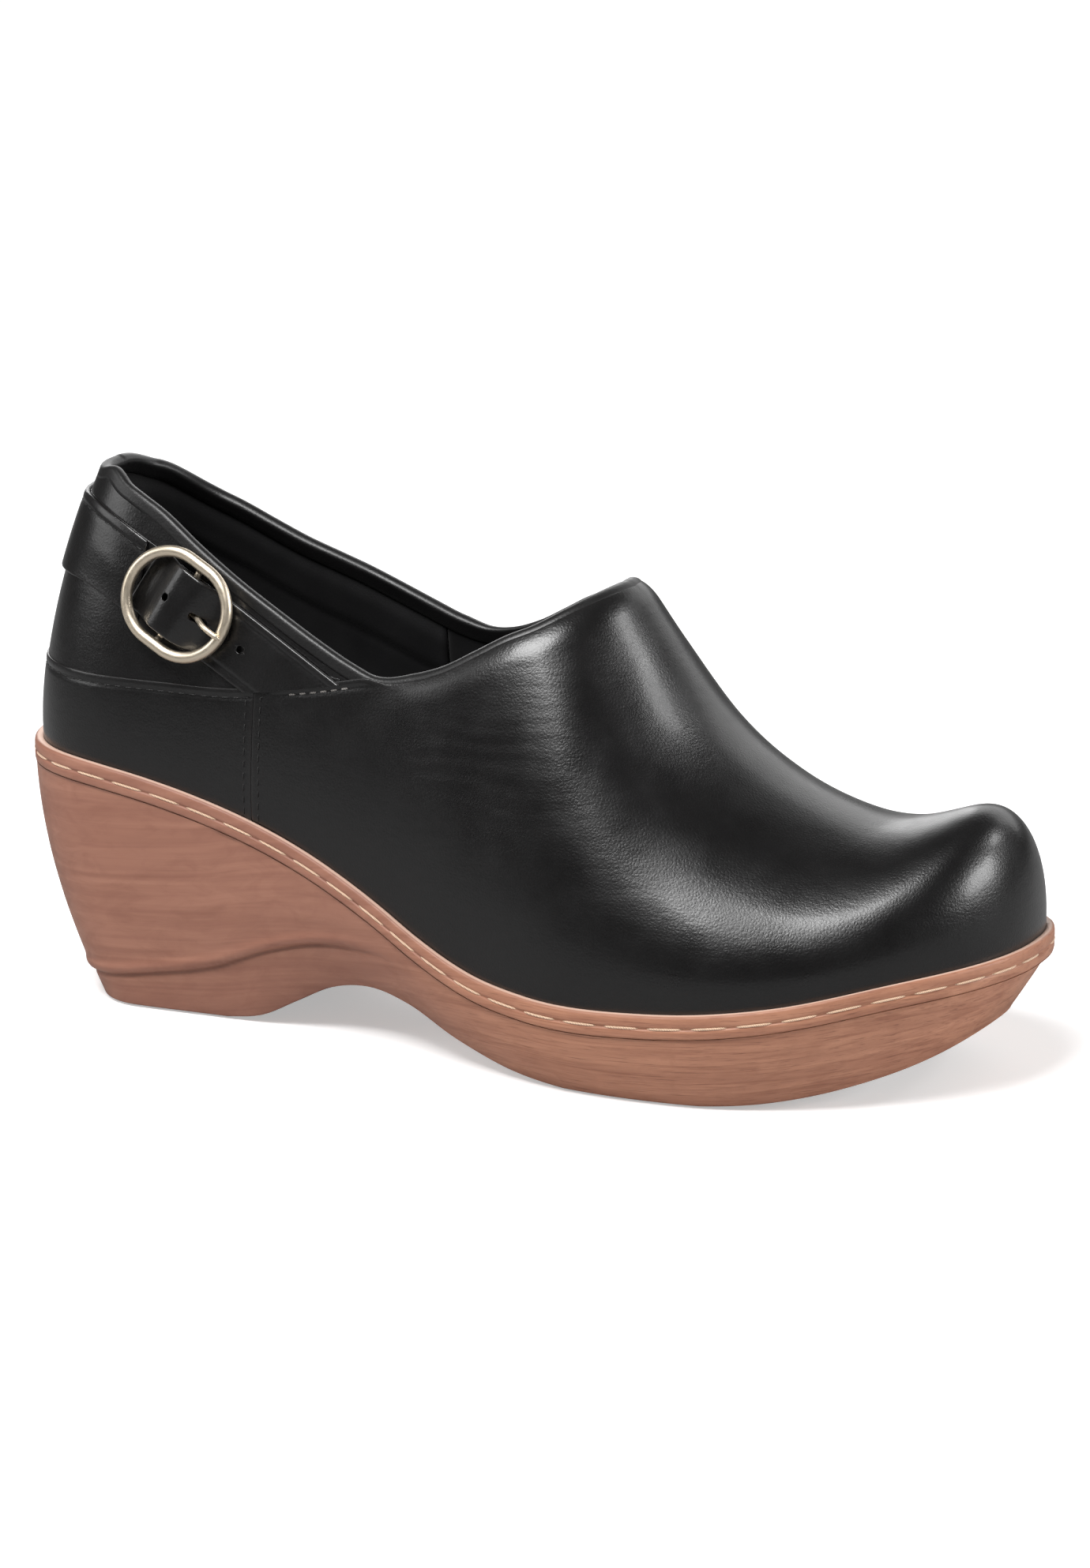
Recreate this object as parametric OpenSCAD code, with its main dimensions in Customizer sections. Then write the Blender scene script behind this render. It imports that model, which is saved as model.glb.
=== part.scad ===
// Closed-back slip-on clog, right foot, leather upper on a wood-look wedge unit sole.
// Millimetres. +X points to the toe, +Y to the inner side of the foot, +Z up.
// The origin is on the ground, under the heel. Stations along the foot are counted from the
// rearmost point of the sole's rim, and each sub-part is moved back to the origin at the end.

/* [Sole] */
// Length of the sole, from the back of the heel to the toe
sole_length = 256; // [250:1:262]
// Width of the sole across the ball
sole_width = 101; // [98:0.5:104]
// Height of the rim at the back of the heel
heel_height = 63.5; // [62:0.5:65]
// Height of the rim under the ball
ball_height = 23; // [22.5:0.5:25]
// Height of the welt's visible side
welt_height = 5.6; // [5:0.1:6.5]
// Depth of the treads that stand out below the sole
tread_proud = 0.8; // [0.5:0.1:1.2]

/* [Upper] */
// Thickness of the outer leather
leather_t = 1.3; // [1.1:0.1:1.4]
// Thickness of the counter, toe puff and collar padding
stiffener_t = 0.9; // [0.7:0.1:1]
// Thickness of the lining leather
lining_t = 0.8; // [0.6:0.1:0.9]
// Gap between two layers of the upper
layer_gap = 0.1; // [0.08:0.01:0.14]
// Gap between two panels that meet at a seam
seam_gap = 0.2; // [0.15:0.05:0.3]

/* [Strap and buckle] */
// Width of the side strap
strap_w = 16.4; // [15:0.1:16.8]
// Thickness of the side strap
strap_t = 1.1; // [1:0.05:1.15]
// Distance between the strap's punched holes
hole_pitch = 10; // [9:0.5:11]
// Diameter of the ring's wire
wire_d = 2.8; // [2.6:0.1:2.8]
// Radius of the ring's ends, to the wire's centre
ring_r = 11.2; // [11.1:0.1:11.5]
// Length of the ring's straight sides
ring_straight = 5.3; // [5:0.1:5.6]
// Diameter of the bar that the ring and the prong turn on
bar_d = 1.6; // [1.5:0.05:1.6]
// Diameter of the prong's shank
prong_d = 1.2; // [1:0.1:1.2]

/* [Hidden] */

black = [0.06, 0.06, 0.065];
wood = [0.62, 0.44, 0.36];
cream = [0.93, 0.87, 0.76];
gold = [0.85, 0.78, 0.66];

// The tables below give a value at stations along the foot, for a sole 256 long and 101 wide.
BASE_LENGTH = 256;
BASE_WIDTH = 101;
HALF_WIDTH = [[0, 35.5], [37, 35.5], [70, 34.5], [100, 36], [130, 42], [160, 48.5], [186, 50.5],
    [215, 49], [256, 46]];
CENTRE = [[0, 0], [37, 0], [70, -1.5], [100, -4], [135, -4.5], [165, -3], [190, 0], [220, 4], [256, 9]];
// Share of the drop from heel to ball that is left
RIM_DROP = [[0, 1], [30, 0.963], [60, 0.815], [90, 0.575], [108, 0.37], [120, 0.217], [135, 0.069],
    [150, 0.005], [180, 0], [210, 0.079], [235, 0.212], [256, 0.291]];
// Height and sideways place of the ridge over the foot
RIDGE = [[0, 148], [37, 158], [70, 161], [100, 154], [125, 140], [142, 127], [152, 116], [162, 101],
    [175, 82.6], [190, 69], [203, 62.2], [214, 59.4], [223, 59.6], [233, 62.4], [244, 67], [256, 69]];
RIDGE_Y = [[0, 0], [37, 0], [90, -1], [130, 1], [165, 3], [200, 5], [230, 7], [256, 9]];
// How upright the lower wall is, how full the upper wall is, and how far the wall bulges
UPRIGHT = [[0, 0.34], [37, 0.34], [70, 0.36], [110, 0.42], [150, 0.5], [190, 0.55], [256, 0.55]];
FULL = [[0, 0.4], [37, 0.42], [70, 0.45], [110, 0.45], [150, 0.42], [190, 0.5], [225, 0.55], [256, 0.55]];
BULGE = [[0, 0.06], [37, 0.08], [70, 0.06], [110, 0.04], [150, 0.06], [190, 0.1], [225, 0.12], [256, 0.12]];
// Height of the sole's underside and inset of its bottom edge
UNDERSIDE = [[0, 0], [61, 0], [70, 1.5], [80, 6.5], [90, 11.5], [101, 13.5], [113, 11.5], [127, 6],
    [142, 1.8], [158, 0], [192, 0], [206, 1.2], [222, 4.5], [240, 11], [256, 21]];
SIDE_INSET = [[0, 6.5], [40, 6.5], [75, 8], [105, 9], [140, 8], [180, 6.5], [220, 7], [256, 8]];

// Seam lines seen from the side: height at each station, on the outer and the inner side
TOPLINE = [[[-10, 130], [17, 130], [21, 130], [26, 130.6], [28, 129.6], [30.4, 128.1], [35, 126],
    [41.5, 122.8], [53.5, 114.9], [65, 107.8], [76.5, 101.6], [88, 95.8], [97, 91.8], [103, 89.8], [114, 92],
    [122, 94.9], [129, 98.8], [136, 102.8], [142, 105.4], [148, 108.8], [153, 111.4], [162, 114]],
    [[-10, 130], [17, 130], [18.2, 128.6], [19.5, 127.5], [21, 126.8], [23, 125.6], [25.5, 123.8],
    [29.4, 121.2], [34, 118.8], [40, 116.3], [48.5, 112.4], [57, 108.8], [66, 105.8], [75, 102.8],
    [83.5, 99.6], [92, 96.2], [100.5, 92.8], [107, 91.2], [114, 92], [122, 94.9], [129, 98.8], [136, 102.8],
    [142, 105.4], [148, 108.8], [153, 111.4], [162, 114]]];
BAND_LINE = [[[-10, 124.2], [17, 124.2], [21, 123.9], [29.4, 121.2], [40, 116.2], [67, 102.4],
    [88.6, 90.2], [97, 89]],
    [[-10, 124.2], [17, 124.2], [19.5, 122.4], [22, 120.4], [25, 118.2], [32, 113.8], [40, 110.2],
    [57, 103.6], [75, 97.6], [88.6, 92], [97, 89]]];
FOXING_LINE = [[-10, 84.5], [46, 83.6], [65, 83.8], [83, 86.3], [103, 90.5]];

rear_x = 37;       // where the round of the heel starts
front_x = 186;     // where the round of the toe starts
heel_power = 2.3;  // squareness of the heel's round
toe_power = 2.25;  // squareness of the toe's round
feather_inset = 2.2;   // the upper stands this far inside the rim
feather_drop = 0.5;    // and this far below its lip
toe_cap_x = 231;       // the ridge starts to fall towards the toe here
toe_cap_power = 2.65;
heel_round = 12;       // how softly the ridge line stops above the heel
seam_x = 72;           // side seam between vamp and foxing
wing_front_x = 103;    // the vamp's wings, which lie over the foxing line, start here
throat_x = 162;        // the opening ends before this station
band_front_x = 97;     // the collar band's lower edge meets the foxing line here
skirt = 8;             // cutting length below the feather line
heel_rest = 42;        // station of the point under the heel where the origin lies

heel_steps = 8;
side_steps = 13;
toe_steps = 13;
around = heel_steps + side_steps + toe_steps;
wall_rows = [0, 0.06, 0.14, 0.24, 0.36, 0.5, 0.64, 0.78, 0.9, 0.985];
sole_rows = [1, 0.93, 0.8, 0.62, 0.42, 0.22, 0];

// Depths of the upper's layers, counted inwards from the outer face
stiffener_at = leather_t + layer_gap;
lining_at = stiffener_at + stiffener_t + layer_gap;
inner_face = lining_at + lining_t;
rest_gap = 0.15;       // clearance where a piece stands on another
bend_shift = 0.4;      // keeps the bends of cut edges off the bends of the walls

// ---------------------------------------------------------------- curves

function slope(t, i) = (t[i + 1][1] - t[i][1]) / (t[i + 1][0] - t[i][0]);

function tangent(t, i) =
    i == 0 ? slope(t, 0)
    : i == len(t) - 1 ? slope(t, i - 1)
    : (slope(t, i - 1) * (t[i + 1][0] - t[i][0]) + slope(t, i) * (t[i][0] - t[i - 1][0]))
        / (t[i + 1][0] - t[i - 1][0]);

function span_of(t, x, i = 0) = i >= len(t) - 2 || x < t[i + 1][0] ? i : span_of(t, x, i + 1);

// Smooth curve through the stations of a table
function smooth(t, x) =
    let (xc = min(max(x, t[0][0]), t[len(t) - 1][0]),
         i = span_of(t, xc),
         h = t[i + 1][0] - t[i][0],
         u = (xc - t[i][0]) / h)
    (2 * u ^ 3 - 3 * u ^ 2 + 1) * t[i][1] + (u ^ 3 - 2 * u ^ 2 + u) * h * tangent(t, i)
    + (3 * u ^ 2 - 2 * u ^ 3) * t[i + 1][1] + (u ^ 3 - u ^ 2) * h * tangent(t, i + 1);

length_scale = sole_length / BASE_LENGTH;
width_scale = sole_width / BASE_WIDTH;
function along(t, x) = smooth(t, x / length_scale);

function rim_z(x) = ball_height + (heel_height - ball_height) * along(RIM_DROP, x);
function feather_z(x) = rim_z(x) - feather_drop;
function underside_z(x) = max(0, along(UNDERSIDE, x));

rear = rear_x * length_scale;
front = front_x * length_scale;

// Points around the sole, numbered from the heel (a = 0) to the toe (a = 1) along one side
heel_part = 0.2;
toe_part = 0.8;
function clamp01(u) = min(max(u, 0), 1);
stations = concat(
    [for (i = [0 : heel_steps - 1]) heel_part * i / heel_steps],
    [for (i = [0 : side_steps - 1]) heel_part + (toe_part - heel_part) * i / side_steps],
    [for (i = [0 : toe_steps]) toe_part + 0.1998 * (1 - (1 - i / toe_steps) ^ 1.5)]);

function heel_angle(a) = 90 * clamp01(a / heel_part);
function toe_angle(a) = 90 * clamp01((a - toe_part) / (1 - toe_part));

// One point of the outline: side is -1 outside and 1 inside, the insets are at side, heel and toe
function outline(side, a, side_in, heel_in, toe_in) =
    let (x = a < heel_part ? rear - (rear - heel_in) * cos(heel_angle(a)) ^ (2 / heel_power)
            : a < toe_part ? rear + (front - rear) * (a - heel_part) / (toe_part - heel_part)
            : front + (sole_length - front - toe_in) * sin(toe_angle(a)) ^ (2 / toe_power),
         round_off = a < heel_part ? sin(heel_angle(a)) ^ (2 / heel_power)
            : a < toe_part ? 1
            : cos(toe_angle(a)) ^ (2 / toe_power),
         half = (width_scale * along(HALF_WIDTH, x) - side_in) * round_off)
    [x, width_scale * along(CENTRE, x) + side * half];

function even_outline(side, a, inset) = outline(side, a, inset, inset, inset);

// Numbers that keep the ridge line in front of the heel's round
function soft_step(u) = let (c = clamp01(u)) c * c * (3 - 2 * c);
function ridge_x(x) =
    let (held = rear + 0.5 * ((x - rear) + sqrt((x - rear) ^ 2 + heel_round ^ 2)),
         free = soft_step((x - 60) / 40))
    held * (1 - free) + x * free;

function toe_fall(x, depth) =
    let (reach = clamp01((x - toe_cap_x) / (sole_length - feather_inset - depth - toe_cap_x)))
    (1 - reach ^ toe_cap_power) ^ (1 / toe_cap_power);

// One point of the upper's wall: v = 0 at the feather line and 1 at the ridge, depth inwards
function wall(side, a, v, depth) =
    let (foot = even_outline(side, a, feather_inset + depth),
         x = foot[0],
         cx = ridge_x(x),
         cy = width_scale * along(RIDGE_Y, cx),
         low = feather_z(x),
         rise = (along(RIDGE, cx) - depth - low) * toe_fall(cx, depth),
         k1 = 3 * (1 - v) ^ 2 * v,
         k2 = 3 * (1 - v) * v ^ 2,
         k3 = v ^ 3,
         inwards = k2 * (1 - along(FULL, x)) + k3 - k1 * along(BULGE, x),
         up = k1 * along(UPRIGHT, x) + k2 + k3)
    [x + (cx - x) * inwards, foot[1] + (cy - foot[1]) * inwards, low + rise * up];

// One point of the sole's side: t = 0 at the rim and 1 at the bottom edge
function sole_wall(side, a, t) =
    let (x0 = even_outline(side, a, 0)[0],
         p = outline(side, a, along(SIDE_INSET, x0) * t ^ 2.2, 18 * t ^ 2, 9 * t ^ 2.2),
         under = tread_proud + underside_z(p[0]))
    [p[0], p[1], rim_z(x0) + (under - rim_z(x0)) * t];

// ---------------------------------------------------------------- solids from curves

// Closed loop of points: outer side from heel to toe, then the inner side back
function loop(outer, inner) = concat(outer, [for (i = [len(inner) - 1 : -1 : 1]) inner[i]]);

// Solid between loops that are stacked from bottom to top
module loft(loops) {
    n = len(loops[0]);
    half = (n - 1) / 2;
    top = (len(loops) - 1) * n;
    points = [for (l = loops, p = l) p];
    sides = [for (r = [0 : len(loops) - 2], i = [0 : n - 1])
        let (a = r * n + i, b = r * n + (i + 1) % n)
        each [[a, a + n, b + n], [a, b + n, b]]];
    strips = [for (i = [1 : half - 1]) [i, i + 1, n - i - 1, n - i]];
    bottom = [for (q = strips) each [[q[0], q[1], q[2]], [q[0], q[2], q[3]]]];
    lid = [for (f = bottom) [f[2] + top, f[1] + top, f[0] + top]];
    ends = [[0, 1, n - 1], [n - 1 + top, 1 + top, top]];
    polyhedron(points, concat(sides, bottom, lid, ends), convexity = 10);
}

// Everything inside the upper's wall at a depth
module last_form(depth) {
    function row(v, drop) = loop(
        [for (a = stations) wall(-1, a, v, depth) - [0, 0, drop]],
        [for (a = stations) wall(1, a, v, depth) - [0, 0, drop]]);
    loft(concat([row(0, skirt)], [for (v = wall_rows) row(v, 0)]));
}

// Everything on one side of the foot's middle
module half_space(side, gap) {
    translate([0, side * (100 + gap), 100])
        cube([600, 200, 400], center = true);
}

// Block that follows the rim: inset from it, between two heights measured from it
module rim_block(inset, low, high) {
    function edge(side, h) = [for (a = stations)
        let (p = even_outline(side, a, inset)) [p[0], p[1], rim_z(p[0]) + h]];
    loft([loop(edge(-1, low), edge(1, low)), loop(edge(-1, high), edge(1, high))]);
}

// Side-view shape, extruded across the whole shoe
module across(points) {
    rotate([90, 0, 0])
        linear_extrude(height = 160, center = true)
            polygon(points);
}

// The same, with its own shape on the outer and on the inner side
module across_sides(outer, inner) {
    overlap = 0.01;
    intersection() {
        across(outer);
        half_space(-1, -overlap);
    }
    intersection() {
        across(inner);
        half_space(1, -overlap);
    }
}

// Points along a side-view line
function line(t, from, to, step, lift) =
    let (n = max(1, ceil(abs(to - from) / step)))
    [for (i = [0 : n]) let (x = from + (to - from) * i / n) [x * length_scale, smooth(t, x) + lift]];

// The upper's lower edge, bent at the same stations as the sole that it stands on
function feather_line(from, to) =
    let (start = from * length_scale,
         end = to * length_scale,
         bends = [for (a = stations) even_outline(1, a, 0)[0] + bend_shift])
    [for (x = concat([start], bends, [end]))
        if (x == start || x == end || (x > start + 1 && x < end - 1)) [x, feather_z(x) + rest_gap]];

// Layer of the upper between two depths, kept where the child shapes are. The resize
// changes nothing, and makes the layer one mesh.
module layer(outer, inner) {
    resize([0, 0, 0])
        intersection() {
            difference() {
                last_form(outer);
                last_form(inner);
            }
            children();
        }
}

// Moves a sub-part from stations along the foot to the part's own frame
module from_heel() {
    translate([-heel_rest * length_scale, 0, 0])
        children();
}

// ---------------------------------------------------------------- side-view regions

behind = -12;
ahead = 268;
above = 200;
wing_front = wing_front_x * length_scale;

module below_topline(lift) {
    function region(t) = concat(
        [[behind, 0], [ahead, 0], [ahead, above], [throat_x * length_scale, above]],
        line(t, throat_x, t[0][0], 5, lift),
        [[behind, t[0][1] + lift]]);
    across_sides(region(TOPLINE[0]), region(TOPLINE[1]));
}

module above_feather(from, to) {
    across(concat(feather_line(from, to), [[to * length_scale, above], [from * length_scale, above]]));
}

module below_foxing_line() {
    t = FOXING_LINE;
    across(concat([[behind, 0], [wing_front, 0]], line(t, wing_front_x, t[0][0], 8, -seam_gap / 2),
        [[behind, t[0][1] - seam_gap / 2]]));
}

module above_foxing_line() {
    t = FOXING_LINE;
    across(concat([[behind, above], [behind, t[0][1] + seam_gap / 2]],
        line(t, t[0][0], wing_front_x, 8, seam_gap / 2), [[wing_front, above]]));
}

module below_band_line() {
    function region(t) = concat([[behind, 0], [band_front_x * length_scale, 0]],
        line(t, band_front_x, t[0][0], 5, -seam_gap / 2), [[behind, t[0][1] - seam_gap / 2]]);
    across_sides(region(BAND_LINE[0]), region(BAND_LINE[1]));
}

module above_band_line(lift) {
    function region(t) = concat([[behind, above], [behind, t[0][1] + lift]],
        line(t, t[0][0], band_front_x, 5, lift),
        [[wing_front, smooth(FOXING_LINE, wing_front_x)], [wing_front, above]]);
    across_sides(region(BAND_LINE[0]), region(BAND_LINE[1]));
}

// ---------------------------------------------------------------- sole unit

rebate_inset = 6;      // inner edge of the rebate that the welt lies in
platform_inset = 5;    // outer edge of the platform that the upper stands on
basin_inset = 9;
basin_depth = 3;
heel_lift_inset = 6;
tread_inset = 8;
tread_rear = 128;
tread_front = 238;
lift_rear = 24;
lift_front = 60;
inlay_depth = 3;       // of the treads in the sole
inlay_gap = 0.1;
core_d = 17;           // width and places of the heel's pockets
CORES = [[26, 0], [48, 12], [48, -13]];
core_floor = 14;

// Plan shape of the sole's bottom, inset from its edge
module bottom_plan(inset) {
    middle = sole_length / 2;
    half_width = 40;
    function edge(side) = [for (a = stations)
        let (p = sole_wall(side, a, 1), c = width_scale * along(CENTRE, p[0]))
        [middle + (p[0] - middle) * (1 - inset / middle), c + (p[1] - c) * (1 - inset / half_width)]];
    linear_extrude(height = heel_height)
        polygon(loop(edge(-1), edge(1)));
}

// Band that follows the sole's underside, from one station to another
module underside_band(from, to, low, high) {
    steps = 14;
    function edge(lift) = [for (i = [0 : steps])
        let (x = (from + (to - from) * i / steps) * length_scale) [x, underside_z(x) + lift]];
    upper = edge(high);
    across(concat(edge(low), [for (i = [steps : -1 : 0]) upper[i]]));
}

module tread_shape(grow, low) {
    intersection() {
        bottom_plan(tread_inset - grow);
        underside_band(tread_rear - grow, tread_front + grow, low, tread_proud + inlay_depth + grow);
    }
}

module lift_shape(grow, low) {
    high = tread_proud + inlay_depth + grow;
    intersection() {
        translate([0, 0, low])
            bottom_plan(heel_lift_inset - grow);
        across([[lift_rear - grow, low], [lift_front + grow, low], [lift_front + grow, high],
            [lift_rear - grow, high]]);
    }
}

module wedge_sole() {
    color(wood)
    from_heel()
    resize([0, 0, 0])
        difference() {
            loft([for (t = sole_rows)
                loop([for (a = stations) sole_wall(-1, a, t)], [for (a = stations) sole_wall(1, a, t)])]);
            // rebate for the welt
            difference() {
                rim_block(-4, -welt_height - inlay_gap, 4);
                rim_block(rebate_inset + inlay_gap, -welt_height - 4, 6);
            }
            // platform that the upper stands on, and the basin inside it
            rim_block(platform_inset, -feather_drop, 5);
            rim_block(basin_inset, -basin_depth, 4);
            // pockets that save weight in the heel
            for (p = CORES)
                translate([p[0], p[1], core_floor])
                    cylinder(h = heel_height, d = core_d, $fn = 24);
            lift_shape(inlay_gap, -inlay_depth);
            tread_shape(inlay_gap, -inlay_depth);
        }
}

module heel_lift() {
    color(wood * 0.8)
    from_heel()
        lift_shape(0, 0);
}

module forefoot_tread() {
    color(wood * 0.8)
    from_heel()
        tread_shape(0, 0);
}

stitch_drop = 3;       // the welt's stitches lie this far below its lip
stitch_d = 0.8;        // width of their groove's middle
groove_depth = 0.5;
lip = 1.9;             // the welt stands up this far around the upper

module welt() {
    color(wood)
    from_heel()
    resize([0, 0, 0])
        difference() {
            rim_block(-0.2, -welt_height, 0);
            rim_block(rebate_inset, -welt_height - 2, 2);
            rim_block(lip, -feather_drop, 2);
            // groove for the stitches
            difference() {
                rim_block(-2, -stitch_drop - stitch_d * 0.75, -stitch_drop + stitch_d * 0.75);
                rim_block(groove_depth, -stitch_drop - 3, -stitch_drop + 3);
            }
        }
}

// Short thread from one point to another
module stitch(from, to, d) {
    run = to - from;
    length = norm(run);
    translate(from)
        rotate([0, acos(run[2] / length), atan2(run[1], run[0])])
            cylinder(h = length, d = d, $fn = 6);
}

welt_stitches = 31;    // on each side
stitch_share = 0.8;    // of the pitch that shows as thread

// Place of a stitch along one side: counted evenly over heel, side and toe, whose lengths differ
HEEL_STITCHES = [0.11, 0.12];
TOE_STITCHES = [0.76, 0.84];
function stitch_station(u) =
    u < HEEL_STITCHES[0] ? u / HEEL_STITCHES[0] * HEEL_STITCHES[1]
    : u > TOE_STITCHES[0] ? TOE_STITCHES[1] + (u - TOE_STITCHES[0]) / (1 - TOE_STITCHES[0]) * 0.159
    : HEEL_STITCHES[1] + (u - HEEL_STITCHES[0]) / (TOE_STITCHES[0] - HEEL_STITCHES[0])
        * (TOE_STITCHES[1] - HEEL_STITCHES[1]);

module welt_stitching() {
    function seat(side, a) = let (p = even_outline(side, a, -0.15))
        [p[0], p[1], rim_z(p[0]) - stitch_drop];
    color(cream)
    from_heel()
        for (side = [-1, 1], i = [1 : welt_stitches - 1]) {
            a = stitch_station(i / welt_stitches);
            b = stitch_station((i + stitch_share) / welt_stitches);
            stitch(seat(side, a), seat(side, b), stitch_d * 0.6);
        }
}

// ---------------------------------------------------------------- inside the shoe

board_t = 2;
shank_w = 12;
shank_t = 1.2;
shank_from = 30;
shank_to = 140;
shank_side = 3;        // the arch pulls it this far to the outer side
bed_gap = 0.4;         // below the shank
filler_from = 146;
filler_to = 250;
filler_gap = 0.2;      // below the filler
edge_gap = 0.3;        // around the filler
board_edge = 0.7;      // between the board and the lining

module basin_piece(from, to, low, high, inset) {
    resize([0, 0, 0])
        intersection() {
            rim_block(inset, low, high);
            translate([from, -60, 0])
                cube([to - from, 120, 120]);
        }
}

module steel_shank() {
    color("gray")
    from_heel()
    resize([0, 0, 0])
        intersection() {
            rim_block(basin_inset + 1, -basin_depth + bed_gap, -basin_depth + bed_gap + shank_t);
            translate([shank_from, -shank_side - shank_w / 2, 0])
                cube([shank_to - shank_from, shank_w, above]);
        }
}

module forefoot_filler() {
    color("peru")
    from_heel()
        basin_piece(filler_from, filler_to, -basin_depth + filler_gap, -feather_drop - layer_gap,
            basin_inset + edge_gap);
}

module insole_board() {
    color("tan")
    from_heel()
        basin_piece(0, sole_length, -feather_drop + rest_gap, -feather_drop + rest_gap + board_t,
            feather_inset + inner_face + board_edge);
}

footbed_inset = feather_inset + inner_face + 1;
footbed_low = board_t + 2 * rest_gap - feather_drop;
cover_t = 1;
cover_gap = 0.35;      // glue line under the cover

// Height of the footbed's face above the rim: thick at the heel, with a raised edge
FOOTBED_T = [[0, 6], [60, 6.5], [110, 7.5], [150, 5.5], [256, 4]];
CUP = [[0, 5], [60, 4.5], [110, 4], [160, 1], [256, 0.3]];

// Solid on nested rings of the footbed's outline. Cupped is 1 for a face that follows the
// foot and 0 for one that lies on the board.
module footbed_form(low, high, cupped_base) {
    rings = [0.25, 0.5, 0.72, 0.88, 1];
    function spot(side, a, r, height, cupped) =
        let (p = even_outline(side, a, footbed_inset),
             c = width_scale * along(CENTRE, p[0]),
             x = p[0] < rear ? rear + (p[0] - rear) * r
                : p[0] > front ? front + (p[0] - front) * r
                : p[0])
        [x, c + (p[1] - c) * r,
            rim_z(x) + height + cupped * (along(FOOTBED_T, x) + along(CUP, x) * r ^ 4)];
    function ring(r, height, cupped) = loop(
        [for (a = stations) spot(-1, a, r, height, cupped)],
        [for (a = stations) spot(1, a, r, height, cupped)]);
    loft(concat(
        [for (r = rings) ring(r, low, cupped_base)],
        [for (i = [len(rings) - 1 : -1 : 0]) ring(rings[i], high, 1)]));
}

module footbed() {
    color("dimgray")
    from_heel()
        footbed_form(footbed_low, footbed_low, 0);
}

module footbed_cover() {
    color(black)
    from_heel()
        footbed_form(footbed_low + cover_gap, footbed_low + cover_gap + cover_t, 1);
}

// ---------------------------------------------------------------- upper

module vamp() {
    color(black)
    from_heel()
    layer(0, leather_t) {
        intersection() {
            above_feather(seam_x + seam_gap / 2, ahead);
            below_topline(0);
            union() {
                across([[wing_front, -1], [ahead, -1], [ahead, above], [wing_front, above]]);
                below_foxing_line();
            }
        }
    }
}

module heel_foxing() {
    color(black)
    from_heel()
    layer(0, leather_t) {
        intersection() {
            above_feather(-10, seam_x - seam_gap / 2);
            below_foxing_line();
        }
    }
}

module quarter_panel(side) {
    color(black)
    from_heel()
    layer(0, leather_t) {
        intersection() {
            above_foxing_line();
            below_band_line();
            half_space(side, seam_gap / 2);
        }
    }
}

module quarter_lateral() {
    quarter_panel(-1);
}

module quarter_medial() {
    quarter_panel(1);
}

module collar_band() {
    color(black)
    from_heel()
    layer(0, leather_t) {
        intersection() {
            above_band_line(seam_gap / 2);
            above_foxing_line();
            below_topline(0);
            across([[behind, 0], [wing_front - seam_gap, 0], [wing_front - seam_gap, above],
                [behind, above]]);
        }
    }
}

binding_h = 1.5;       // height, and how far it stands out on both faces
binding_gap = 0.1;
binding_out = 0.5;
binding_in = 0.4;

module topline_binding() {
    color(black)
    from_heel()
    layer(-binding_out, inner_face + binding_in) {
        difference() {
            below_topline(binding_gap + binding_h);
            below_topline(binding_gap);
        }
    }
}

// Band around the heel, from the buckle on the outer side to the foxing on the inner side
module heel_strap() {
    low_edge = -strap_w / cos(strap_angle);
    color(black)
    from_heel()
    layer(-layer_gap - strap_t, -layer_gap) {
        intersection() {
            below_band_line();
            above_band_line(low_edge);
            above_foxing_line();
            union() {
                half_space(1, 0);
                across(behind_buckle);
            }
        }
    }
}

// Side view of the heel counter's upper edge, and of the padding's lower edge above it
COUNTER_TOP = [[59, 66], [40, 78], [behind, 78]];
PADDING_LOW = [[behind, 79], [40, 79], [58, 68], [84, 80]];
counter_front = 58;
padding_drop = 1.5;    // the padding ends this far below the topline

module heel_counter() {
    color("burlywood")
    from_heel()
    layer(stiffener_at, stiffener_at + stiffener_t) {
        intersection() {
            above_feather(-10, counter_front);
            across(concat([[behind, 0], [COUNTER_TOP[0][0], 0]], COUNTER_TOP));
        }
    }
}

module collar_padding() {
    color("gold")
    from_heel()
    layer(stiffener_at, stiffener_at + stiffener_t) {
        intersection() {
            below_topline(-padding_drop);
            across(concat(PADDING_LOW, [[PADDING_LOW[3][0], above], [behind, above]]));
        }
    }
}

puff_rear = 212;

module toe_puff() {
    color("burlywood")
    from_heel()
    layer(stiffener_at, stiffener_at + stiffener_t) {
        above_feather(puff_rear, ahead);
    }
}

lining_seam_x = 96;

module vamp_lining() {
    color(black * 0.8)
    from_heel()
    layer(lining_at, inner_face) {
        intersection() {
            above_feather(lining_seam_x + seam_gap / 2, ahead);
            below_topline(0);
        }
    }
}

module quarter_lining() {
    color(black * 0.8)
    from_heel()
    layer(lining_at, inner_face) {
        intersection() {
            above_feather(-10, lining_seam_x - seam_gap / 2);
            below_topline(0);
        }
    }
}

// Place on the wall at a height: the share v that gives it, found by halving
function share_at(side, a, z, low = 0, high = 1, n = 14) =
    n == 0 ? (low + high) / 2
    : let (mid = (low + high) / 2)
      wall(side, a, mid, 0)[2] < z ? share_at(side, a, z, mid, high, n - 1)
      : share_at(side, a, z, low, mid, n - 1);

thread_d = 0.5;
thread_stand = -0.45;  // depth of the thread's centre, just outside the leather
row_pitch = 3;
row_share = 0.6;       // of the pitch that shows as thread
outline_half = 255;    // rough length of half the outline
row_drop = 2;          // below the foxing line
// Rows of stitches between two places: on the foxing, and on the vamp's wings
FOXING_ROWS = [[0.08, 0.33], [0.35, 0.455]];
SEAM_ROWS = [0.348, 0.355];

function on_wall(side, a, z) = wall(side, a, share_at(side, a, z), thread_stand);

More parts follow.
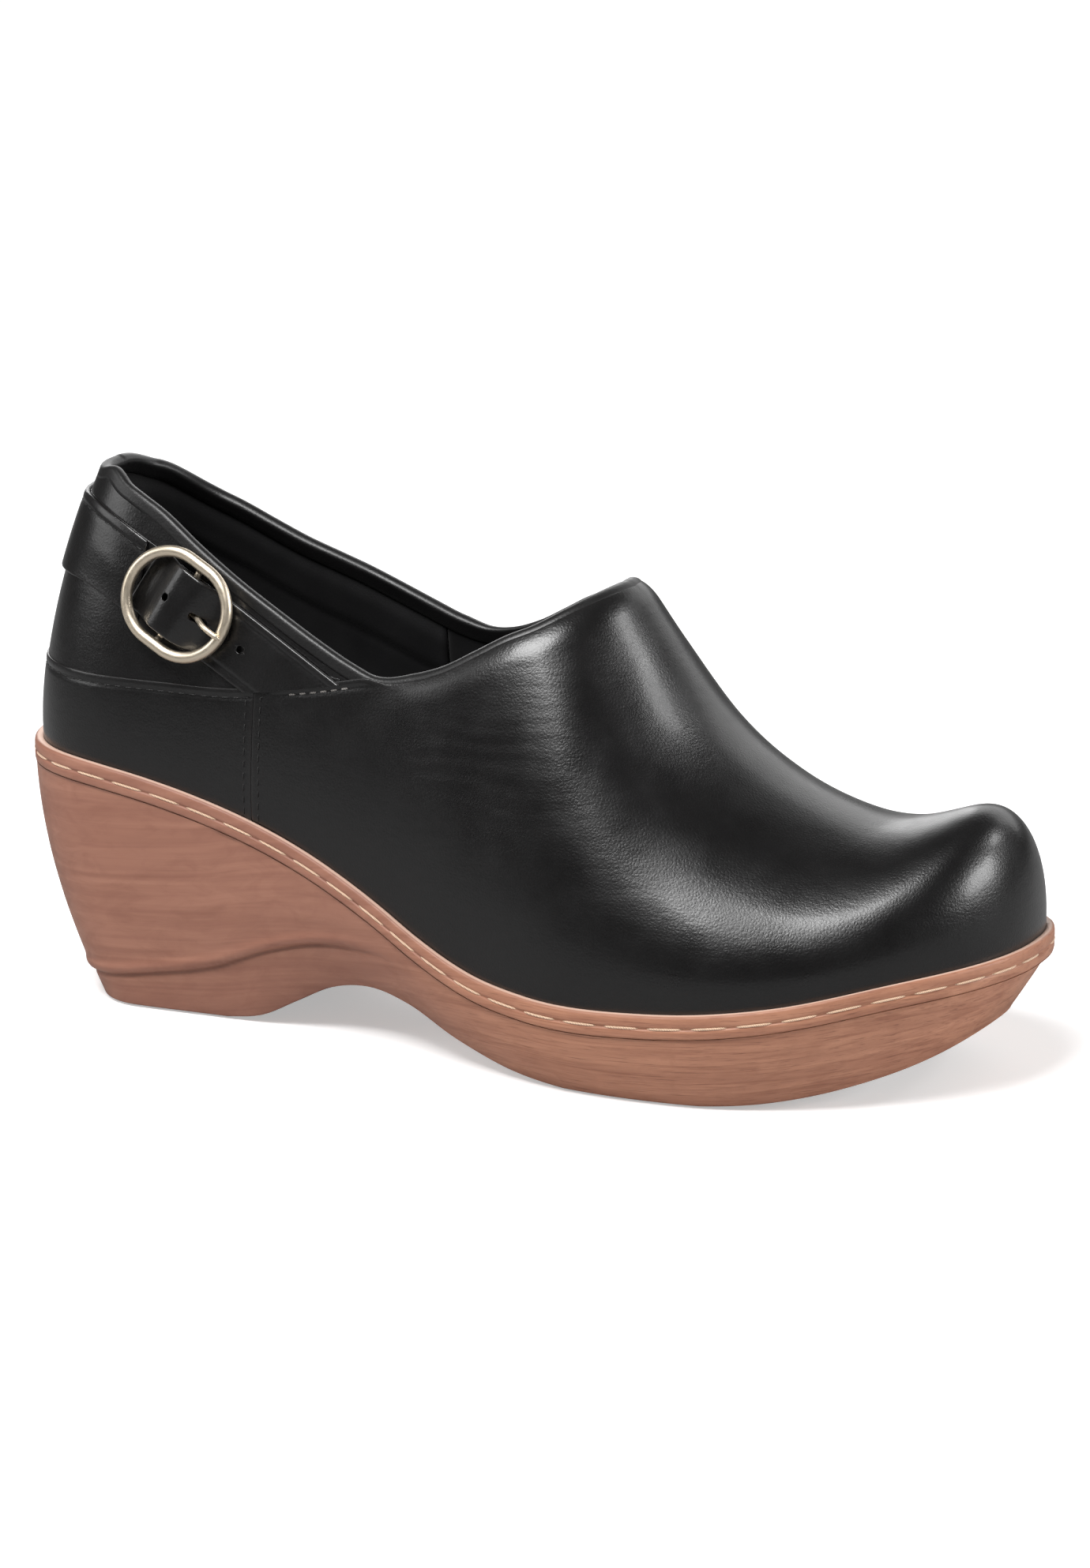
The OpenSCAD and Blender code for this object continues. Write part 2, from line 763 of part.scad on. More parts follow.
// Row of stitches along a side-view line, between two places around the shoe
module stitch_row(side, table, drop, from, to) {
    n = floor((to - from) * outline_half / row_pitch);
    for (i = [0 : n - 1]) {
        a = from + (to - from) * i / n;
        b = from + (to - from) * (i + row_share) / n;
        za = smooth(table, even_outline(side, a, 0)[0] / length_scale) - drop;
        zb = smooth(table, even_outline(side, b, 0)[0] / length_scale) - drop;
        stitch(on_wall(side, a, za), on_wall(side, b, zb), thread_d);
    }
}

// Upright row of stitches beside the side seam
module seam_row(side, a) {
    low = 58;
    high = 81;
    n = floor((high - low) / row_pitch);
    for (i = [0 : n - 1]) {
        z = low + i * row_pitch;
        stitch(on_wall(side, a, z), on_wall(side, a, z + row_share * row_pitch), thread_d);
    }
}

module upper_stitching() {
    color(black * 2)
    from_heel()
    for (side = [-1, 1]) {
        for (row = FOXING_ROWS)
            stitch_row(side, FOXING_LINE, row_drop, row[0], row[1]);
        for (a = SEAM_ROWS)
            seam_row(side, a);
    }
}

// ---------------------------------------------------------------- strap and buckle

// Frame of the buckle: x along the strap, y along the bar, z out of the leather
buckle_a = 0.2567;
buckle_v = 0.348;
strap_angle = 29.5;
probe = 0.0005;
base = wall(-1, buckle_a, buckle_v, 0);
tangent_a = wall(-1, buckle_a + probe, buckle_v, 0) - wall(-1, buckle_a - probe, buckle_v, 0);
tangent_v = wall(-1, buckle_a, buckle_v + probe, 0) - wall(-1, buckle_a, buckle_v - probe, 0);
function unit(p) = p / norm(p);
out_dir = unit(cross(tangent_a, tangent_v));
strap_hint = [cos(strap_angle), 0, -sin(strap_angle)];
strap_dir = unit(strap_hint - (strap_hint * out_dir) * out_dir);
bar_dir = cross(out_dir, strap_dir);

module at_buckle() {
    multmatrix([
        [strap_dir[0], bar_dir[0], out_dir[0], base[0]],
        [strap_dir[1], bar_dir[1], out_dir[1], base[1]],
        [strap_dir[2], bar_dir[2], out_dir[2], base[2]],
        [0, 0, 0, 1]])
        children();
}

// Side-view region behind the buckle's rear rail
strap_end = -12.2;     // the side strap's hidden end, counted from the bar
rail_edge = [base[0] + (strap_end - 0.5) * strap_dir[0], base[2] + (strap_end - 0.5) * strap_dir[2]];
rail_dir = [-strap_dir[2], strap_dir[0]];
behind_buckle = [rail_edge - 80 * rail_dir, rail_edge + 80 * rail_dir, [behind, above], [behind, 20]];

// Heights above the leather
bar_z = 1.7;
ring_z = 3.55;
turn_gap = 0.06;       // radial clearance around the bar
eye_wall = 0.64;
eye_r = bar_d / 2 + turn_gap + eye_wall;
prong_rest_z = ring_z + wire_d / 2 + prong_d / 2 + 0.05;

// Ribbon of even thickness along a path in the x-z plane
function ribbon_normal(p, i) =
    let (a = p[max(i - 1, 0)], b = p[min(i + 1, len(p) - 1)], d = unit(b - a)) [-d[1], d[0]];
function ribbon(p, t) = concat(
    [for (i = [0 : len(p) - 1]) p[i] - ribbon_normal(p, i) * t / 2],
    [for (i = [len(p) - 1 : -1 : 0]) p[i] + ribbon_normal(p, i) * t / 2]);

STRAP_PATH = [[strap_end, 0.75], [-8.2, 0.85], [-4.4, 3.75], [-2.8, 4.1], [2.8, 4.1], [4.8, 3.8],
    [8.6, 1], [11, 0.95], [28, 1.6], [48, 2.6]];
first_hole = -3;
last_hole = first_hole + 2 * hole_pitch + 2;
slot_from = 4.6;
slot_to = 8.4;
hole_d = 2.2;
cut_low = -5;          // depth and height of the punch
cut_h = 15;

// Hole, or slot between two places along the strap
module punched_hole(from, to) {
    for (x = [from, to])
        translate([x, 0, cut_low])
            cylinder(h = cut_h, d = hole_d, $fn = 24);
    if (to > from)
        translate([from, -hole_d / 2, cut_low])
            cube([to - from, hole_d, cut_h]);
}

module side_strap() {
    color(black)
    from_heel()
    intersection() {
        at_buckle()
            difference() {
                rotate([90, 0, 0])
                    linear_extrude(height = strap_w, center = true)
                        polygon(ribbon(STRAP_PATH, strap_t));
                punched_hole(first_hole, first_hole);
                punched_hole(slot_from + hole_d / 2, slot_to - hole_d / 2);
                punched_hole(last_hole, last_hole);
            }
        above_foxing_line();
    }
}

chape_w = 14;
chape_notch = 2.8;     // room for the prong
chape_tail = 6;
chape_t = 0.5;

module buckle_chape() {
    color(black)
    from_heel()
    at_buckle()
        difference() {
            union() {
                translate([0, 0, bar_z])
                    rotate([90, 0, 0])
                        cylinder(h = chape_w, r = eye_r, center = true, $fn = 32);
                translate([-chape_tail, -chape_w / 2, bar_z - eye_r])
                    cube([chape_tail, chape_w, chape_t]);
            }
            translate([0, 0, bar_z])
                rotate([90, 0, 0])
                    cylinder(h = chape_w + 2, d = bar_d + 2 * turn_gap, center = true, $fn = 32);
            translate([-2, -chape_notch / 2, -1])
                cube([6, chape_notch, 6]);
        }
}

module ring_end(side) {
    translate([side * ring_straight / 2, 0, ring_z])
        rotate([0, 0, side > 0 ? -90 : 90])
            rotate_extrude(angle = 180, $fn = 64)
                translate([ring_r, 0])
                    circle(d = wire_d, $fn = 32);
}

module buckle_ring() {
    color(gold)
    from_heel()
    at_buckle()
        union() {
            ring_end(1);
            ring_end(-1);
            for (side = [-1, 1])
                translate([0, side * ring_r, ring_z])
                    rotate([0, 90, 0])
                        cylinder(h = ring_straight, d = wire_d, center = true, $fn = 32);
            translate([0, 0, bar_z])
                rotate([90, 0, 0])
                    cylinder(h = 2 * ring_r, d = bar_d, center = true, $fn = 32);
        }
}

PRONG_PATH = [[1.1, 1.95], [5.2, 2.1], [7, 3.2], [8.8, 4.6], [10.4, 5.3], [12.2, prong_rest_z],
    [15, prong_rest_z]];

module buckle_prong() {
    eye_w = 2.2;
    prong_w = 1.5;
    color(gold)
    from_heel()
    at_buckle()
        difference() {
            union() {
                translate([0, 0, bar_z])
                    rotate([90, 0, 0])
                        cylinder(h = eye_w, r = eye_r, center = true, $fn = 32);
                rotate([90, 0, 0])
                    linear_extrude(height = prong_w, center = true)
                        polygon(ribbon(PRONG_PATH, prong_d));
            }
            translate([0, 0, bar_z])
                rotate([90, 0, 0])
                    cylinder(h = eye_w + 2, d = bar_d + 2 * turn_gap, center = true, $fn = 32);
        }
}

wedge_sole();
heel_lift();
forefoot_tread();
welt();
welt_stitching();
steel_shank();
forefoot_filler();
insole_board();
footbed();
footbed_cover();
vamp();
heel_foxing();
quarter_lateral();
quarter_medial();
collar_band();
topline_binding();
heel_strap();
heel_counter();
toe_puff();
collar_padding();
vamp_lining();
quarter_lining();
upper_stitching();
side_strap();
buckle_chape();
buckle_ring();
buckle_prong();
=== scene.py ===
"""Slip-on wedge clog: the visible leather, sole, stitching and buckle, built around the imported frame.

Shapes are drawn in millimetres along the foot, counted from the rearmost point of the sole's rim, and
placed in the frame at the end. The wall of the upper is one surface, wall(side, a, v): a runs from the
heel (0) to the toe (1), v from the feather line (0) to the ridge over the foot (1).
"""
import math

import bmesh
import bpy
import numpy as np
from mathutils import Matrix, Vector, kdtree


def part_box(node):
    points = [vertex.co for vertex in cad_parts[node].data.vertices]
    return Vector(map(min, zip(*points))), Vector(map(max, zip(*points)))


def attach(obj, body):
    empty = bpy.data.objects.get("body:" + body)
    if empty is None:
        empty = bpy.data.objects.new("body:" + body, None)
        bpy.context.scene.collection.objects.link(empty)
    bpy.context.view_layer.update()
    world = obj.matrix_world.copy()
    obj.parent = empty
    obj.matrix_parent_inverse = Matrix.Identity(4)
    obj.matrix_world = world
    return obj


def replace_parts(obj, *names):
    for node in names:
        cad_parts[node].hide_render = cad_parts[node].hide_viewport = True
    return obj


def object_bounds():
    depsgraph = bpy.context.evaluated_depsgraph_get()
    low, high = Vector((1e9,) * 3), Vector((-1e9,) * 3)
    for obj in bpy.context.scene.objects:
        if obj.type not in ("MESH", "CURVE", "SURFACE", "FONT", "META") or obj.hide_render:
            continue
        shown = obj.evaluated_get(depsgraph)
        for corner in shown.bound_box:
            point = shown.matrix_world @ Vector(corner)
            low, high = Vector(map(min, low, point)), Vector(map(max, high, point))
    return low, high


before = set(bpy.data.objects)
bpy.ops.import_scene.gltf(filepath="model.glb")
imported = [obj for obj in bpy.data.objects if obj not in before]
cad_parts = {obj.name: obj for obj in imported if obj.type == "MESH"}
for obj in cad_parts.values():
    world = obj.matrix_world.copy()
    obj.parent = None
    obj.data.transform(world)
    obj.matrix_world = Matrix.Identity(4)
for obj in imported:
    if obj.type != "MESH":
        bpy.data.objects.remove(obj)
CAD_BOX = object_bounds()

# ------------------------------------------------------------------ sizes, from the frame
SOLE_LENGTH = 256.0                        # of the rim, in drawn millimetres
WELT_PROUD = 0.2                           # of the welt, beyond the rim at heel and toe
WELT_LOW, WELT_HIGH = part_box("welt")
UNIT = (WELT_HIGH.x - WELT_LOW.x) / (SOLE_LENGTH + 2 * WELT_PROUD)
HEEL_STATION = SOLE_LENGTH - (WELT_HIGH.x / UNIT - WELT_PROUD)      # station of the frame's origin
HEEL_RIM = WELT_HIGH.z / UNIT              # height of the rim at the heel
BALL_RIM = 23.0                            # and at the ball

# ------------------------------------------------------------------ drawn curves, (station, value)
HALF_WIDTH = [(0, 35.5), (37, 35.5), (70, 34.5), (100, 36), (130, 42), (160, 48.5), (186, 50.5),
              (215, 49), (256, 46)]
CENTRE = [(0, 0), (37, 0), (70, -1.5), (100, -4), (135, -4.5), (165, -3), (190, 0), (220, 4), (256, 9)]
RIM_DROP = [(0, 1), (30, .963), (60, .815), (90, .575), (108, .37), (120, .217), (135, .069), (150, .005),
            (180, 0), (210, .079), (235, .212), (256, .291)]
RIDGE = [(0, 148), (37, 158), (70, 161), (100, 154), (125, 140), (142, 127), (152, 116), (162, 101),
         (175, 82.6), (190, 69), (203, 62.2), (214, 59.4), (223, 59.6), (233, 62.4), (244, 67), (256, 69)]
RIDGE_Y = [(0, 0), (37, 0), (90, -1), (130, 1), (165, 3), (200, 5), (230, 7), (256, 9)]
UPRIGHT = [(0, .34), (37, .34), (70, .36), (110, .42), (150, .5), (190, .55), (256, .55)]
FULL = [(0, .4), (37, .42), (70, .45), (110, .45), (150, .42), (190, .5), (225, .55), (256, .55)]
BULGE = [(0, .06), (37, .08), (70, .06), (110, .04), (150, .06), (190, .1), (225, .12), (256, .12)]
UNDERSIDE = [(0, 0), (61, 0), (70, 1.5), (80, 6.5), (90, 11.5), (101, 13.5), (113, 11.5), (127, 6),
             (142, 1.8), (158, 0), (192, 0), (206, 1.2), (222, 4.5), (240, 11), (256, 21)]
SIDE_INSET = [(0, 6.5), (40, 6.5), (75, 8), (105, 9), (140, 8), (180, 6.5), (220, 7), (256, 8)]
HEEL_RIDGE = [(0, 5), (16, 6), (42, 10), (60, 14), (73, 19.5), (89, 24), (104, 25), (125, 22)]
THROAT = [(114, 92), (122, 94.9), (129, 98.8), (136, 102.8), (142, 105.4), (148, 108.8), (153, 111.4),
          (162, 114)]
TOPLINE = {                                # by side: -1 is the outer side, 1 the inner side
    -1: [(-10, 130), (17, 130), (21, 130), (26, 130.6), (28, 129.6), (30.4, 128.1), (35, 126), (41.5, 122.8),
         (53.5, 114.9), (65, 107.8), (76.5, 101.6), (88, 95.8), (97, 91.8), (103, 89.8)] + THROAT,
    1: [(-10, 130), (17, 130), (18.2, 128.6), (19.5, 127.5), (21, 126.8), (23, 125.6), (25.5, 123.8),
        (29.4, 121.2), (34, 118.8), (40, 116.3), (48.5, 112.4), (57, 108.8), (66, 105.8), (75, 102.8),
        (83.5, 99.6), (92, 96.2), (100.5, 92.8), (107, 91.2)] + THROAT}
BAND_LINE = {
    -1: [(-10, 124.2), (17, 124.2), (21, 123.9), (29.4, 121.2), (40, 116.2), (67, 102.4), (88.6, 90.2),
         (97, 89)],
    1: [(-10, 124.2), (17, 124.2), (19.5, 122.4), (22, 120.4), (25, 118.2), (32, 113.8), (40, 110.2),
        (57, 103.6), (75, 97.6), (88.6, 92), (97, 89)]}
FOXING_LINE = [(-10, 84.5), (46, 83.6), (65, 83.8), (83, 86.3), (103, 90.5)]

REAR, FRONT = 37.0, 186.0                  # stations where the rounds of heel and toe start
HEEL_POWER, TOE_POWER = 2.3, 2.25          # of those rounds; 2 is an ellipse
HEEL_PART, TOE_PART = 0.2, 0.8             # places a of REAR and FRONT
FEATHER_INSET, FEATHER_DROP = 2.2, 0.5     # of the upper's foot, from the rim
CAP_X, CAP_POWER = 231.0, 2.65             # where the toe cap's round starts, and its power
RIDGE_BLEND = 12.0                         # how softly the ridge ends behind REAR
RIDGE_FREE = (60, 100)                     # stations over which the ridge comes free of the heel
CORE_X, CORE_Z = (42, 212), 45.0           # line inside the foot that the upper faces away from
SPINE_X = (37, 190)                        # stations of the sole's middle line
TREAD_PROUD = 0.8                          # of the rubber, below the sole
SEAM_X = 72.0                              # where foxing and vamp meet
QUARTER_X, BAND_X = 95.0, 101.5            # front ends of the quarters and the collar band
LINING_X = 96.0                            # where the linings of quarter and vamp meet
THROAT_X = 160.0                           # beyond the front of the opening
WING_X = (80, 103)                         # the vamp's wings, lapped over the quarters
STRAP_W = 16.4
STRAP_ANGLE = math.radians(29.5)           # of the strap, below level
LEATHER_T = 1.3
LINING_AT = 2.5                            # depth of the lining's hidden face
INNER_FACE = 3.2                           # depth of the lining's face inside the shoe
SPACING = 1.2            # of the mesh points on the leather
FINE = np.array([0, .12, .28, .5, .75, 1.05, 1.35, 1.65, 1.95, 2.25, 2.6, 3.0, 3.5, 4.2, 5.1])
# FINE holds the distances from a cut edge of the closely spaced rows that round it


# ------------------------------------------------------------------ curves and surfaces
def smooth(table, x):
    """Smooth curve through the stations of a table."""
    xs = np.array([p[0] for p in table], float)
    ys = np.array([p[1] for p in table], float)
    h = np.diff(xs)
    d = np.diff(ys) / h
    m = np.concatenate([d[:1], (d[:-1] * h[1:] + d[1:] * h[:-1]) / (h[1:] + h[:-1]), d[-1:]])
    xc = np.clip(x, xs[0], xs[-1])
    i = np.clip(np.searchsorted(xs, xc, side="right") - 1, 0, len(h) - 1)
    u = (xc - xs[i]) / h[i]
    return ((2 * u**3 - 3 * u**2 + 1) * ys[i] + (u**3 - 2 * u**2 + u) * h[i] * m[i]
            + (3 * u**2 - 2 * u**3) * ys[i + 1] + (u**3 - u**2) * h[i] * m[i + 1])


def ease(x, low, high):
    """0 below low, 1 above high, with a soft step between them."""
    u = np.clip((np.asarray(x, float) - low) / (high - low), 0, 1)
    return u * u * (3 - 2 * u)


def hump(x, middle, width):
    """1 at the middle, falling off smoothly to both sides."""
    return np.exp(-((x - middle) / width) ** 2)


def rim_z(x):
    return BALL_RIM + (HEEL_RIM - BALL_RIM) * smooth(RIM_DROP, x)


def underside_z(x):
    return np.maximum(0, smooth(UNDERSIDE, x))


def outline(side, a, side_in, heel_in=None, toe_in=None):
    """x and y of a point of the outline; the insets apply at the side, the heel and the toe."""
    heel_in = side_in if heel_in is None else heel_in
    toe_in = side_in if toe_in is None else toe_in
    back = np.clip(a / HEEL_PART, 0, 1) * math.pi / 2
    tip = np.clip((a - TOE_PART) / (1 - TOE_PART), 0, 1) * math.pi / 2
    share = np.clip((a - HEEL_PART) / (TOE_PART - HEEL_PART), 0, 1)
    x = np.where(a < HEEL_PART, REAR - (REAR - heel_in) * np.cos(back) ** (2 / HEEL_POWER),
                 np.where(a < TOE_PART, REAR + (FRONT - REAR) * share,
                          FRONT + (SOLE_LENGTH - FRONT - toe_in) * np.sin(tip) ** (2 / TOE_POWER)))
    narrow = np.where(a < HEEL_PART, np.sin(back) ** (2 / HEEL_POWER),
                      np.where(a < TOE_PART, 1, np.abs(np.cos(tip)) ** (2 / TOE_POWER)))
    return x, smooth(CENTRE, x) + side * (smooth(HALF_WIDTH, x) - side_in) * narrow


def wall(side, a, v, depth=0.0):
    """A point of the upper's wall, depth millimetres inside its outer face."""
    side, a, v = np.broadcast_arrays(np.asarray(side, float), np.asarray(a, float), np.asarray(v, float))
    x, y = outline(side, a, FEATHER_INSET + depth)
    held = REAR + 0.5 * ((x - REAR) + np.sqrt((x - REAR) ** 2 + RIDGE_BLEND**2))
    free = ease(x, *RIDGE_FREE)
    cx = held * (1 - free) + x * free
    cy = smooth(RIDGE_Y, cx)
    reach = np.clip((cx - CAP_X) / (SOLE_LENGTH - FEATHER_INSET - depth - CAP_X), 0, 1)
    low = rim_z(x) - FEATHER_DROP
    rise = (smooth(RIDGE, cx) - depth - low) * (1 - reach**CAP_POWER) ** (1 / CAP_POWER)
    k1, k2, k3 = 3 * (1 - v) ** 2 * v, 3 * (1 - v) * v**2, v**3
    inwards = k2 * (1 - smooth(FULL, x)) + k3 - k1 * smooth(BULGE, x)
    up = k1 * smooth(UPRIGHT, x) + k2 + k3
    return np.stack([x + (cx - x) * inwards, y + (cy - y) * inwards, low + rise * up], -1)


def line_height(side, line, x):
    """Height of a side-view line; a line may be one table or one for each side."""
    if isinstance(line, dict):
        return np.where(np.asarray(side) < 0, smooth(line[-1], x), smooth(line[1], x))
    return smooth(line, x)


def share_of(side, a, line, lift=0.0):
    """The v at which the wall crosses a side-view line."""
    low, high = np.zeros(np.shape(a)), np.ones(np.shape(a))
    for _ in range(18):
        mid = (low + high) / 2
        p = wall(side, a, mid)
        below = p[..., 2] < line_height(side, line, p[..., 0]) + lift
        low, high = np.where(below, mid, low), np.where(below, high, mid)
    return (low + high) / 2


def place(points):
    """From drawn millimetres to the frame, in metres."""
    return (np.asarray(points, float) - (HEEL_STATION, 0, 0)) * UNIT


def unit(p):
    return p / np.maximum(np.linalg.norm(p, axis=-1, keepdims=True), 1e-12)


def outward_of(p):
    """Rough direction away from the foot, for points on the upper."""
    x = p[..., 0]
    core = np.stack([np.clip(x, *CORE_X), smooth(CENTRE, x), np.full(x.shape, CORE_Z)], -1)
    return unit(p - core)


def outward_level(x, y):
    """Level direction away from the sole's middle line."""
    return unit(np.stack([x - np.clip(x, *SPINE_X), y - smooth(CENTRE, x)], -1))


def grid_normals(p):
    """Normals of a grid of points, pointing away from the foot."""
    outward = outward_of(p)
    n = np.cross(np.gradient(p, axis=0), np.gradient(p, axis=1))
    n = n * np.sign(np.sum(n * outward, -1, keepdims=True))
    weak = np.linalg.norm(n, axis=-1, keepdims=True) < 1e-5
    return unit(np.where(weak, outward, n))


def run_length(curve):
    """Distance along a polyline at each of its points."""
    return np.concatenate([[0], np.cumsum(np.linalg.norm(np.diff(curve, axis=0), axis=-1))])


def at_lengths(t, s, curve):
    """Points of a polyline at the distances t; s holds its own points' distances."""
    return np.stack([np.interp(t, s, column) for column in curve.T], -1)


def refine(curve, spacing):
    """The same polyline with a point every spacing millimetres."""
    s = run_length(curve)
    return at_lengths(np.linspace(0, s[-1], max(2, int(s[-1] / spacing) + 1)), s, curve)


def gap_to(points, curve, spacing=0.25):
    """Distance of each point to a curve."""
    curve = refine(curve, spacing)
    tree = kdtree.KDTree(len(curve))
    for i, p in enumerate(curve):
        tree.insert(p, i)
    tree.balance()
    flat = points.reshape(-1, 3)
    return np.array([tree.find(p)[2] for p in flat]).reshape(points.shape[:-1])


def border(grid, edge):
    """One edge of a grid of points: low and high are its first and last rows."""
    return {"low": grid[0], "high": grid[-1], "start": grid[:, 0], "end": grid[:, -1]}[edge]


def even_places(a0, a1, spacing, fine_start=False, fine_end=False):
    """Places from a0 to a1 about spacing millimetres apart; negative places lie on the outer side."""
    fine = np.linspace(a0, a1, 900)
    paths = [around(fine, v) for v in (0.0, 0.5, 1.0)]
    steps = np.max([np.linalg.norm(np.diff(p, axis=0), axis=-1) for p in paths], axis=0)
    s = np.concatenate([[0], np.cumsum(steps)])
    return np.interp(graded(s[-1], spacing, fine_start, fine_end) * s[-1], s, fine)


def graded(length, spacing, fine_start=True, fine_end=True):
    """Shares of a length, closer together at the ends that ask for it."""
    fine = FINE
    fine = fine[fine < length * 0.35]
    low = fine if fine_start else fine[:1]
    high = fine if fine_end else fine[:1]
    middle = np.linspace(low[-1], length - high[-1], max(3, int((length - low[-1] - high[-1]) / spacing)))
    return np.concatenate([low[:-1], middle, length - high[-2::-1]]) / length


def around(q, v, depth=0.0):
    """The wall at a signed place: negative on the outer side, positive on the inner side."""
    return wall(np.where(np.asarray(q) < 0, -1, 1), np.abs(q), v, depth)


def ripple(p, size, seed):
    """Smooth, repeatable unevenness, about -1 to 1, with waves of about size millimetres."""
    rng = np.random.default_rng(seed)
    total = np.zeros(p.shape[:-1])
    for _ in range(7):
        k = rng.normal(size=3)
        k *= 2 * math.pi / (size * rng.uniform(0.8, 2.0) * np.linalg.norm(k))
        total += np.sin(p @ k + rng.uniform(0, 6.28))
    return total / 4


# ------------------------------------------------------------------ meshes
def grid_faces(rows, cols, start=0, flip=False, close=False):
    """Quads of a grid of points, stored row by row."""
    i, j = np.meshgrid(np.arange(rows - 1), np.arange(cols if close else cols - 1), indexing="ij")
    k = (j + 1) % cols
    quads = np.stack([i * cols + j, i * cols + k, (i + 1) * cols + k, (i + 1) * cols + j], -1).reshape(-1, 4)
    return (quads[:, ::-1] if flip else quads) + start


def add_mesh(name, points, faces, material, attributes=None, body="shoe"):
    """A smooth-shaded object that rides on a body. Points are in drawn millimetres."""
    mesh = bpy.data.meshes.new(name)
    mesh.from_pydata(place(points).tolist(), [], [list(map(int, f)) for f in faces])
    for key, value in (attributes or {}).items():
        value = np.asarray(value, np.float32)
        kind = "FLOAT" if value.ndim == 1 else "FLOAT_VECTOR"
        data = mesh.attributes.new(key, kind, "POINT").data
        data.foreach_set("value" if value.ndim == 1 else "vector", value.ravel())
    bm = bmesh.new()
    bm.from_mesh(mesh)
    bmesh.ops.remove_doubles(bm, verts=bm.verts, dist=2e-6)
    bmesh.ops.recalc_face_normals(bm, faces=bm.faces)
    bm.to_mesh(mesh)
    bm.free()
    mesh.polygons.foreach_set("use_smooth", [True] * len(mesh.polygons))
    mesh.materials.append(material)
    obj = bpy.data.objects.new(name, mesh)
    bpy.context.scene.collection.objects.link(obj)
    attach(obj, body)
    return obj


def sheet_faces(rows, cols):
    """Faces of a closed sheet: outer grid, inner grid and the walls around their edge."""
    n = rows * cols
    rim = ([(0, j) for j in range(cols)] + [(i, cols - 1) for i in range(1, rows)]
           + [(rows - 1, j) for j in range(cols - 2, -1, -1)] + [(i, 0) for i in range(rows - 2, 0, -1)])
    ids = np.array([i * cols + j for i, j in rim])
    nxt = np.roll(ids, -1)
    walls = np.stack([ids, ids + n, nxt + n, nxt], -1)
    return np.concatenate([grid_faces(rows, cols), grid_faces(rows, cols, n, flip=True), walls])


def loop_faces(rows, n, closed):
    """Side faces through stacked loops; closed joins the last loop to the first."""
    faces = grid_faces(rows, n, close=True).tolist()
    if closed:
        last = (rows - 1) * n
        faces += [[last + i, last + (i + 1) % n, (i + 1) % n, i] for i in range(n)]
    return faces


def rings_along(path, radius, across, up, sides):
    """Circles around the points of a path; radius holds one number for each point."""
    t = np.linspace(0, 2 * math.pi, sides, endpoint=False)[None, :, None]
    return path[:, None] + radius[:, None, None] * (np.cos(t) * across[:, None] + np.sin(t) * up[:, None])


def add_sheet(name, outer, inner, material, attributes=None):
    """A closed sheet between two grids of points."""
    rows, cols = outer.shape[:2]
    points = np.concatenate([outer.reshape(-1, 3), inner.reshape(-1, 3)])
    extra = {k: np.concatenate([np.ravel(v), np.ravel(v)]) for k, v in (attributes or {}).items()}
    return add_mesh(name, points, sheet_faces(rows, cols), material, extra)


def add_loft(name, loops, material, attributes=None, closed=False, body="shoe"):
    """Solid through stacked loops, an array of loops x points x 3. Closed joins the last to the first."""
    rows, n = loops.shape[:2]
    faces = loop_faces(rows, n, closed)
    if not closed:
        half = n // 2
        for start in (0, (rows - 1) * n):
            strips = [[i, i + 1, (n - i - 1) % n, n - i] for i in range(1, half - 1)]
            ends = [[0, 1, n - 1], [half - 1, half, half + 1]]
            faces += [[start + i for i in f] for f in strips + ends]
    return add_mesh(name, loops.reshape(-1, 3), faces, material, attributes, body)


def add_tube(name, path, radius, material, upright, body, sides=20, closed=False):
    """A round bar along a path; radius is one number or one for each point, upright any side direction."""
    path = np.asarray(path, float)
    radius = np.broadcast_to(np.asarray(radius, float), len(path))
    if closed:
        along = unit(np.roll(path, -1, axis=0) - np.roll(path, 1, axis=0))
    else:
        along = unit(np.gradient(path, axis=0))
    up = np.broadcast_to(upright, path.shape)
    across = unit(np.cross(along, up))
    up = np.cross(across, along)
    rings = rings_along(path, radius, across, up, sides)
    faces = loop_faces(len(path), sides, closed)
    if not closed:
        last = (len(path) - 1) * sides
        faces += [list(range(sides)), list(range(last, last + sides))]
    return add_mesh(name, rings.reshape(-1, 3), faces, material, body=body)


def round_drop(gap, radius):
    """How far a rounded edge lies below the face, at a distance from the edge."""
    s = np.clip(gap, 0, radius)
    return radius - np.sqrt(np.maximum(radius**2 - (radius - s) ** 2, 0))


GROOVE_DEEP, GROOVE_WIDE = 0.20, 0.55      # the leather drawn in by a row of stitches
SWELL_HIGH, SWELL_WIDE, SWELL_AWAY = 0.09, 0.8, 1.3     # and swelling beside it


def add_leather(name, node, base, free, lift, thick, radius=0.5, grooves=(), relief=0.0, sewn=1.0):
    """A leather panel on a grid of points, in place of a CAD node. free names its cut, rounded edges.

    grooves holds (edge, distance) pairs for rows of stitches that pull the leather in, where sewn is 1.
    Returns the outer face's points and its normals.
    """
    normal = grid_normals(base)
    gaps = {edge: gap_to(base, border(base, edge)) for edge in set(free) | {g[0] for g in grooves}}
    near = np.min([gaps[e] for e in free], axis=0)
    height = lift + relief - round_drop(near, radius)
    for edge, distance in grooves:
        height = height - GROOVE_DEEP * sewn * hump(gaps[edge], distance, GROOVE_WIDE)
        height = height + SWELL_HIGH * sewn * hump(gaps[edge], distance - SWELL_AWAY, SWELL_WIDE)
    outer = base + normal * height[..., None]
    floor = np.minimum(height - 0.25, lift - thick)
    inner = base + normal * floor[..., None]
    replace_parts(add_sheet(name, outer, inner, LEATHER, worn_near(near)), node)
    return outer, normal


def worn_near(gap):
    """Attribute for edges rubbed lighter, from the distance to the nearest cut edge."""
    return {"wear": np.exp(-gap / 0.6)}


